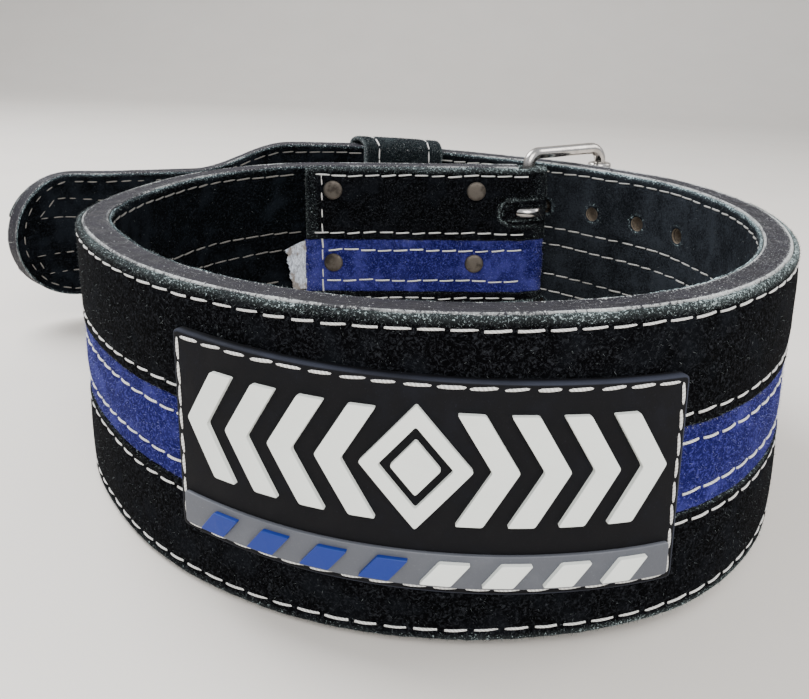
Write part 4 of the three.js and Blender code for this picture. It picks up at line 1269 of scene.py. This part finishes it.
def diamond(shrink):
    right, rise = DIAMOND_WIDTH / 2 - shrink, DIAMOND_HEIGHT / 2 - shrink * DIAMOND_HEIGHT / DIAMOND_WIDTH
    return rounded(
        [(-right, PATTERN_MID), (0, PATTERN_MID - rise), (right, PATTERN_MID), (0, PATTERN_MID + rise)], 0.8
    )


relief = (PATCH_FACE + GAP - 0.25, PATCH_FACE + GAP + PATTERN_RELIEF, 0.3, white_rubber, "white_rubber")
plate("ring", "diamond_ring", diamond(0), *relief, hole=diamond(DIAMOND_LIMB))
plate("heart", "diamond_heart", diamond(DIAMOND_LIMB + HEART_GAP), *relief)
for order in range(CHEVRONS):
    near = DIAMOND_WIDTH / 2 + order * CHEVRON_PITCH - CHEVRON_POINT / 2
    tall = CHEVRON_HEIGHT / 2
    shape = [
        (near, -tall), (near + CHEVRON_LIMB, -tall), (near + CHEVRON_LIMB + CHEVRON_POINT, 0),
        (near + CHEVRON_LIMB, tall), (near, tall), (near + CHEVRON_POINT, 0)
    ]
    for side, hand in ((-1, "left"), (1, "right")):
        outline = [(side * x, PATTERN_MID + y) for x, y in shape]
        plate(f"mark_{hand}_{order + 1}", f"chevron_{hand}_{order + 1}", rounded(outline, 0.7), *relief)
for order in range(SLASHES):
    pitch = (PATCH_WIDTH - 2 * PATCH_MARGIN - SLASH_LEAN) / SLASHES
    left = -PATCH_WIDTH / 2 + PATCH_MARGIN + (order + 0.5) * pitch - SLASH_WIDTH / 2
    outline = [
        (left, SLASH_FOOT), (left + SLASH_WIDTH, SLASH_FOOT), (left + SLASH_WIDTH + SLASH_LEAN, SLASH_TOP),
        (left + SLASH_LEAN, SLASH_TOP)
    ]
    look = (blue_rubber, "blue_rubber") if order < SLASHES / 2 else (white_rubber, "white_rubber")
    plate(
        f"bar_{order + 1}", f"slash_{order + 1}", rounded(outline, 0.6), BAND_FACE + GAP - 0.25,
        BAND_FACE + GAP + PATTERN_RELIEF, 0.28, *look
    )
print("patch pieces", 2 + 2 + 2 * CHEVRONS + SLASHES)

# %% [markdown]
# ## Thread
# A lockstitch shows the same dash on both faces. Each dash is one short length of twisted thread
# that dives into the leather at both ends. Geometry Nodes sets one at every place on a seam.


# %% The stitch generator
def socket_id(group, label):
    return next(i.identifier for i in group.interface.items_tree if i.name == label and i.in_out == "INPUT")


def generator(name, inputs):
    """A geometry node group with a geometry in and out and the named inputs."""
    tree = bpy.data.node_groups.new(name, "GeometryNodeTree")
    tree.interface.new_socket("Geometry", in_out="INPUT", socket_type="NodeSocketGeometry")
    for label, kind, value in inputs:
        socket = tree.interface.new_socket(label, in_out="INPUT", socket_type=kind)
        if value is not None:
            socket.default_value = value
    tree.interface.new_socket("Geometry", in_out="OUTPUT", socket_type="NodeSocketGeometry")
    return tree, tree.nodes.new("NodeGroupInput").outputs, tree.nodes.new("NodeGroupOutput").inputs


def named(tree, label, kind="FLOAT_VECTOR"):
    return put(tree, "GeometryNodeInputNamedAttribute", {"Name": label}, data_type=kind).outputs[0]


def dice(tree, low, high, seed, kind="FLOAT"):
    node = put(tree, "FunctionNodeRandomValue", {"Seed": seed}, data_type=kind)
    first, second, result = (0, 1, 0) if kind == "FLOAT_VECTOR" else (2, 3, 1)
    node.inputs[first].default_value = low
    node.inputs[second].default_value = high
    return node.outputs[result]


stitches, given, result = generator("Stitches", [
    ("Length", "NodeSocketFloat", 6.9 * MM), ("Thread", "NodeSocketFloat", 0.8 * MM),
    ("Lift", "NodeSocketFloat", 0.32 * MM),
    ("Slant", "NodeSocketFloat", 0.05), ("Seed", "NodeSocketInt", 3),
    ("Material", "NodeSocketMaterial", None),
])
tree = stitches
half_length = times(tree, given["Length"], 0.5)
sunk = times(tree, given["Thread"], -0.55)
dash = put(tree, "GeometryNodeCurveQuadraticBezier", {
    "Resolution": 8,
    "Start": put(tree, "ShaderNodeCombineXYZ", {0: times(tree, half_length, -1.0), 2: sunk}).outputs[0],
    "Middle": put(tree, "ShaderNodeCombineXYZ", {2: times(tree, given["Lift"], 1.7)}).outputs[0],
    "End": put(tree, "ShaderNodeCombineXYZ", {0: half_length, 2: sunk}).outputs[0],
})
round_thread = put(
    tree, "GeometryNodeCurvePrimitiveCircle", {"Resolution": 7, "Radius": times(tree, given["Thread"], 0.5)}
)
body = put(
    tree, "GeometryNodeCurveToMesh",
    {"Curve": dash.outputs[0], "Profile Curve": round_thread.outputs[0], "Fill Caps": True}
)
where = tree.nodes.new("GeometryNodeInputPosition").outputs[0]
marked = put(
    tree, "GeometryNodeStoreNamedAttribute",
    {"Geometry": body.outputs[0], "Name": "thread", "Value": where}, data_type="FLOAT_VECTOR",
    domain="POINT"
)
points = put(tree, "GeometryNodeMeshToPoints", {"Mesh": given["Geometry"]}, mode="VERTICES")
stood = put(tree, "FunctionNodeAlignRotationToVector", {"Vector": named(tree, "outward")}, axis="Z")
headed = put(
    tree, "FunctionNodeAlignRotationToVector",
    {"Rotation": stood.outputs[0], "Vector": named(tree, "forward")}, axis="X", pivot_axis="Z"
)
sway = put(
    tree, "ShaderNodeCombineXYZ",
    {
        1: dice(tree, -0.03, 0.03, given["Seed"]),
        2: plus(tree, given["Slant"], dice(tree, -0.045, 0.045, plus(tree, given["Seed"], 7)))
    }
)
swayed = put(
    tree, "FunctionNodeRotateRotation",
    {
        "Rotation": headed.outputs[0],
        "Rotate By": put(tree, "FunctionNodeEulerToRotation", {0: sway.outputs[0]}).outputs[0]
    },
    rotation_space="LOCAL"
)
size = put(
    tree, "ShaderNodeCombineXYZ",
    {
        0: dice(tree, 0.9, 1.06, plus(tree, given["Seed"], 11)),
        1: dice(tree, 0.85, 1.12, plus(tree, given["Seed"], 13)), 2: 0.8
    }
)
placed_dashes = put(
    tree, "GeometryNodeInstanceOnPoints",
    {
        "Points": points.outputs[0], "Instance": marked.outputs[0], "Rotation": swayed.outputs[0],
        "Scale": size.outputs[0]
    }
)
real = put(tree, "GeometryNodeRealizeInstances", {"Geometry": placed_dashes.outputs[0]})
smooth = put(tree, "GeometryNodeSetShadeSmooth", {"Geometry": real.outputs[0]})
final = put(tree, "GeometryNodeSetMaterial", {"Geometry": smooth.outputs[0], "Material": given["Material"]})
tree.links.new(final.outputs[0], result["Geometry"])


# %% Sewing rows
def sew(name, places, forwards, outwards, slot="white_rubber", **settings):
    """One piece of thread: a stitch at every place, made by the generator."""
    mesh = bpy.data.meshes.new(name)
    mesh.from_pydata(np.concatenate(places).tolist(), [], [])
    for label, vectors in (("forward", forwards), ("outward", outwards)):
        mesh.attributes.new(label, "FLOAT_VECTOR", "POINT").data.foreach_set(
            "vector", np.concatenate(vectors).ravel()
        )
    rows = bpy.data.objects.new(name, mesh)
    add_to_scene(rows)
    modifier = rows.modifiers.new("sewn", "NODES")
    modifier.node_group = stitches
    for label, value in {"Material": thread, **settings}.items():
        modifier[socket_id(stitches, label)] = value
    bake(rows)
    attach(rows, "root")
    return rows


def row_on_strip(s, height, out, side):
    """Places, directions and normals of a row on the outer (1) or inner (-1) face."""
    s, height = np.broadcast_arrays(np.asarray(s, float), np.asarray(height, float))
    places = on_strip(s, height, out)
    step = 0.5
    ahead = on_strip(s + step, height + np.gradient(height, s) * step if len(s) > 2 else height, out)
    return places, unit(ahead - places), face_normal(s, side)


straight_end = STRIP_END - TONGUE_WIDTH / 2
# Where the rows along the stripe end: the place counted from the tip, and the height there
ROW_ENDS = {
    1: (-25, 72), 2: (-13.5, 61.8), 3: (-11, 40.8), 4: (-15, 29.8)
}
face_out, face_in = FACING_OUT - 0.2, LINING_IN + 0.15
outer_rows, inner_rows = [], []
for k, seam in enumerate(SEAMS):
    short, end_height = ROW_ENDS.get(k, (-TONGUE_WIDTH / 2 - 2, seam))
    seam_s = np.arange(STRIP_END + short - STITCH_PITCH * 0.45, 13, -STITCH_PITCH)[::-1]
    drift = wander(seam_s, 90, 60 + k, 0.35)
    if k in (0, 5):
        height = MID + (1 if k == 0 else -1) * (half_width(seam_s) - 4.5) + drift
    else:
        spread = np.clip(1 - (STRIP_END + short - seam_s) / 85, 0, 1)
        height = seam + (end_height - seam) * spread * spread * (3 - 2 * spread) + drift * (1 - spread)
    top_out = face_out if k in (0, 1, 4, 5) else FACING_IN + STRIPE
    outer_rows.append(row_on_strip(seam_s, height, top_out, 1))
    bare = seam_s > FLAP_LENGTH + (STRIPE_END + 2 if k == 3 else 3)
    inner_rows.append(row_on_strip(seam_s[bare], height[bare], face_in, -1))
tip_radius = TONGUE_WIDTH / 2 - 4.5
bends = np.arange(-math.pi / 2, math.pi / 2, STITCH_PITCH / tip_radius)
for rows, out, side in ((outer_rows, face_out, 1), (inner_rows, face_in, -1)):
    bend_s = straight_end + tip_radius * np.cos(bends)
    bend_h = MID + tip_radius * np.sin(bends)
    places = on_strip(bend_s, bend_h, out)
    ahead = on_strip(
        straight_end + tip_radius * np.cos(bends + 0.02), MID + tip_radius * np.sin(bends + 0.02), out
    )
    rows.append((places, unit(ahead - places), face_normal(bend_s, side)))
for first, last, count in ((2, 1, 2), (3, 4, 1)):
    ends = np.array([ROW_ENDS[first], ROW_ENDS[last]], float) + (STRIP_END, 0)
    at = ends[0] + (ends[1] - ends[0]) * ((np.arange(count) + 0.5) / count)[:, None]
    for rows, out, side in ((outer_rows, face_out, 1), (inner_rows, face_in, -1)):
        places, ahead = on_strip(at[:, 0], at[:, 1], out), on_strip(
            *(at + (ends[1] - ends[0]) * 0.05).T, out
        )
        rows.append((places, unit(ahead - places), face_normal(at[:, 0], side)))
outer_thread = sew("thread_outside", *zip(*outer_rows), Seed=5)
# The inside rows use the thread darkened with painted shade.
inner_thread = sew(
    "thread_inside", *zip(*inner_rows), Seed=9, Material=thread_in_painted_shade,
    **{"Thread": 0.75 * MM, "Lift": 0.3 * MM}
)
print("stitches outside", sum(len(r[0]) for r in outer_rows), "inside", sum(len(r[0]) for r in inner_rows))

# %% Flap, keeper and patch
flap_rows = []
flap_face, stripe_face = FLAP_OUT - FACING + 0.15, FLAP_OUT - STRIPE - 0.05
for k, seam in enumerate(SEAMS):
    seam_s = np.arange(9 + k, FLAP_LENGTH - 8, STITCH_PITCH)
    height = seam + wander(seam_s, 45, 80 + k, 0.55)
    flap_rows.append(row_on_strip(seam_s, height, flap_face if k in (0, 1, 4, 5) else stripe_face, -1))
column = np.arange(4.5, 95.5, STITCH_PITCH * 0.93) + 2
at = FLAP_LENGTH - 8.9
places = on_strip(
    np.full(len(column), at), column,
    np.where(np.abs(column - STRIPE_MID) < STRIPE_WIDTH / 2, stripe_face, flap_face)
)
upright_row = np.broadcast_to(turned([0, 0, 1.0]), (len(column), 3))
flap_rows.append((places, upright_row, face_normal(np.full(len(column), at), -1)))
flap_thread = sew("thread_flap", *zip(*flap_rows), Seed=21)

round_turn = np.linspace(0, math.pi, 40)
sunk_thickness = KEEPER_THICKNESS - 0.45
swing = np.cos(round_turn)
arched = straight + (KEEPER_RISE + sunk_thickness) * np.sin(round_turn)
loop_out = np.concatenate(
    [half_gap * swing, -half_gap * swing]
) * (half_gap + sunk_thickness) / half_gap + centre
loop_high = MID + np.concatenate([arched, -arched])
loop = np.stack([np.append(loop_out, loop_out[0]), np.append(loop_high, loop_high[0])], 1)
walked = np.concatenate([[0], np.cumsum(np.linalg.norm(np.diff(loop, axis=0), axis=1))])
at = np.linspace(0, walked[-1], int(walked[-1] / 7.1) + 1)[:-1] + 3.2
keeper_rows = []
for offset in (-KEEPER_SEAM, KEEPER_SEAM):
    spots = [np.stack([np.interp(at + d, walked, loop[:, k]) for k in (0, 1)], 1) for d in (-1, 0, 1)]
    before, here, after = (on_strip(middle + offset + slid(p[:, 0]), p[:, 1], p[:, 0]) for p in spots)
    forward = unit(after - before)
    aside = on_strip(middle + offset + 1 + slid(spots[1][:, 0]), spots[1][:, 1], spots[1][:, 0]) - here
    outward = unit(np.cross(forward, aside))
    core_place = on_strip(
        middle + offset + slid(spots[1][:, 0]), np.clip(spots[1][:, 1], MID - straight, MID + straight),
        centre
    )
    outward *= np.sign(((here - core_place) * outward).sum(1))[:, None]
    keeper_rows.append((here, forward, outward))
keeper_thread = sew("thread_keeper", *zip(*keeper_rows), Seed=33, Slant=0.0)

inset = 1.9
patch_rows = []
for rise_at in (inset, PATCH_HEIGHT - inset):
    right = (np.arange(17) + 0.5) * (PATCH_WIDTH - 2 * inset) / 17 - half + inset
    rise, out = np.full(len(right), rise_at), PATCH_FACE - 0.25
    places = on_patch(right, rise, out)
    forward = on_patch(right + 0.5, rise, out) - places
    patch_rows.append((places, unit(forward), face_normal(PATCH_MIDDLE + right, 1)))
for right_at in (-half + inset, half - inset):
    rise = (np.arange(8) + 0.5) * (PATCH_HEIGHT - 2 * inset) / 8 + inset
    right = np.full(len(rise), right_at)
    upward = np.broadcast_to(turned([0, 0, 1.0]), (len(rise), 3))
    patch_rows.append(
        (on_patch(right, rise, PATCH_FACE - 0.25), upward, face_normal(PATCH_MIDDLE + right, 1))
    )
patch_thread = sew(
    "thread_patch", *zip(*patch_rows), Seed=44,
    **{"Length": 8.9 * MM, "Thread": 1.05 * MM, "Lift": 0.75 * MM}
)
print(
    "thread:",
    [len(o.data.polygons) for o in (outer_thread, inner_thread, flap_thread, keeper_thread, patch_thread)]
)

# %% [markdown]
# ## Loose nap
# At the rim the suede has fluffed up, and single fibres stand out against the light. Geometry Nodes
# scatters short tapering fibres over each suede, thick along the worn edges and thin elsewhere.

# %% The fibre generator
fluff, given, result = generator("Loose nap", [
    ("Per square mm", "NodeSocketFloat", 2.0), ("Everywhere", "NodeSocketFloat", 0.05),
    ("Length", "NodeSocketFloat", 1.0 * MM),
    ("Width", "NodeSocketFloat", 0.05 * MM), ("Seed", "NodeSocketInt", 1),
    ("Material", "NodeSocketMaterial", None),
])
tree = fluff
worn = plus(tree, named(tree, "edge", "FLOAT"), given["Everywhere"])
density = times(tree, times(tree, worn, given["Per square mm"]), 1e6)
spots = put(
    tree, "GeometryNodeDistributePointsOnFaces",
    {"Mesh": given["Geometry"], "Density": density, "Seed": given["Seed"]}
)
hair = put(
    tree, "GeometryNodeMeshCone",
    {"Vertices": 3, "Radius Top": 0.0, "Radius Bottom": given["Width"], "Depth": given["Length"]},
    fill_type="NONE"
)
lean = put(
    tree, "FunctionNodeEulerToRotation",
    {0: dice(tree, (-1.15, -1.15, 0), (1.15, 1.15, 6.28), plus(tree, given["Seed"], 3), "FLOAT_VECTOR")}
)
leaning = put(
    tree, "FunctionNodeRotateRotation",
    {"Rotation": spots.outputs["Rotation"], "Rotate By": lean.outputs[0]}, rotation_space="LOCAL"
)
scale = dice(tree, (0.7, 0.7, 0.35), (1.2, 1.2, 1.3), given["Seed"], "FLOAT_VECTOR")
grown = put(
    tree, "GeometryNodeInstanceOnPoints",
    {
        "Points": spots.outputs[0], "Instance": hair.outputs[0], "Rotation": leaning.outputs[0],
        "Scale": scale
    }
)
real = put(tree, "GeometryNodeRealizeInstances", {"Geometry": grown.outputs[0]})
final = put(tree, "GeometryNodeSetMaterial", {"Geometry": real.outputs[0], "Material": given["Material"]})
tree.links.new(final.outputs[0], result["Geometry"])


def fibre_material(name, dark, pale):
    material, tree, shader = surface(name)
    place = object_place(tree)
    tree.links.new(
        mixed(tree, between(tree, noise(tree, place, 500, 2), 0.4, 0.66), dark, pale),
        shader.inputs["Base Color"]
    )
    shader.inputs["Roughness"].default_value = 0.8
    return material


black_fibres = fibre_material("black_fibres", (0.02, 0.024, 0.026), (0.17, 0.19, 0.19))
blue_fibres = fibre_material("blue_fibres", (0.06, 0.07, 0.28), (0.3, 0.32, 0.62))


def grow(host, name, material, slot, **settings):
    """Loose fibres over a suede piece."""
    hairs = bpy.data.objects.new(name, host.data.copy())
    add_to_scene(hairs)
    modifier = hairs.modifiers.new("grown", "NODES")
    modifier.node_group = fluff
    for label, value in {"Material": material, **settings}.items():
        modifier[socket_id(fluff, label)] = value
    bake(hairs)
    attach(hairs, "root")
    print(name, len(hairs.data.polygons), "faces")
    return hairs


grow(
    upper, "nap_top", black_fibres, "black_suede", Seed=3,
    **{"Per square mm": 1.5, "Everywhere": 0.05, "Width": 0.06 * MM}
)
grow(lower, "nap_bottom", black_fibres, "black_suede", Seed=4, **{"Per square mm": 1.3, "Everywhere": 0.08})
grow(
    lining, "nap_lining", black_fibres, "black_suede", Seed=5,
    **{"Per square mm": 0.5, "Everywhere": 0.02, "Width": 0.07 * MM}
)
grow(stripe, "nap_stripe", blue_fibres, "blue_suede", Seed=6, **{"Per square mm": 0.85, "Everywhere": 0.5})
grow(
    keeper, "nap_keeper", black_fibres, "keeper_suede", Seed=7, **{"Per square mm": 1.6, "Everywhere": 0.3}
)

# %% Size of the dressed belt
low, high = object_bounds()
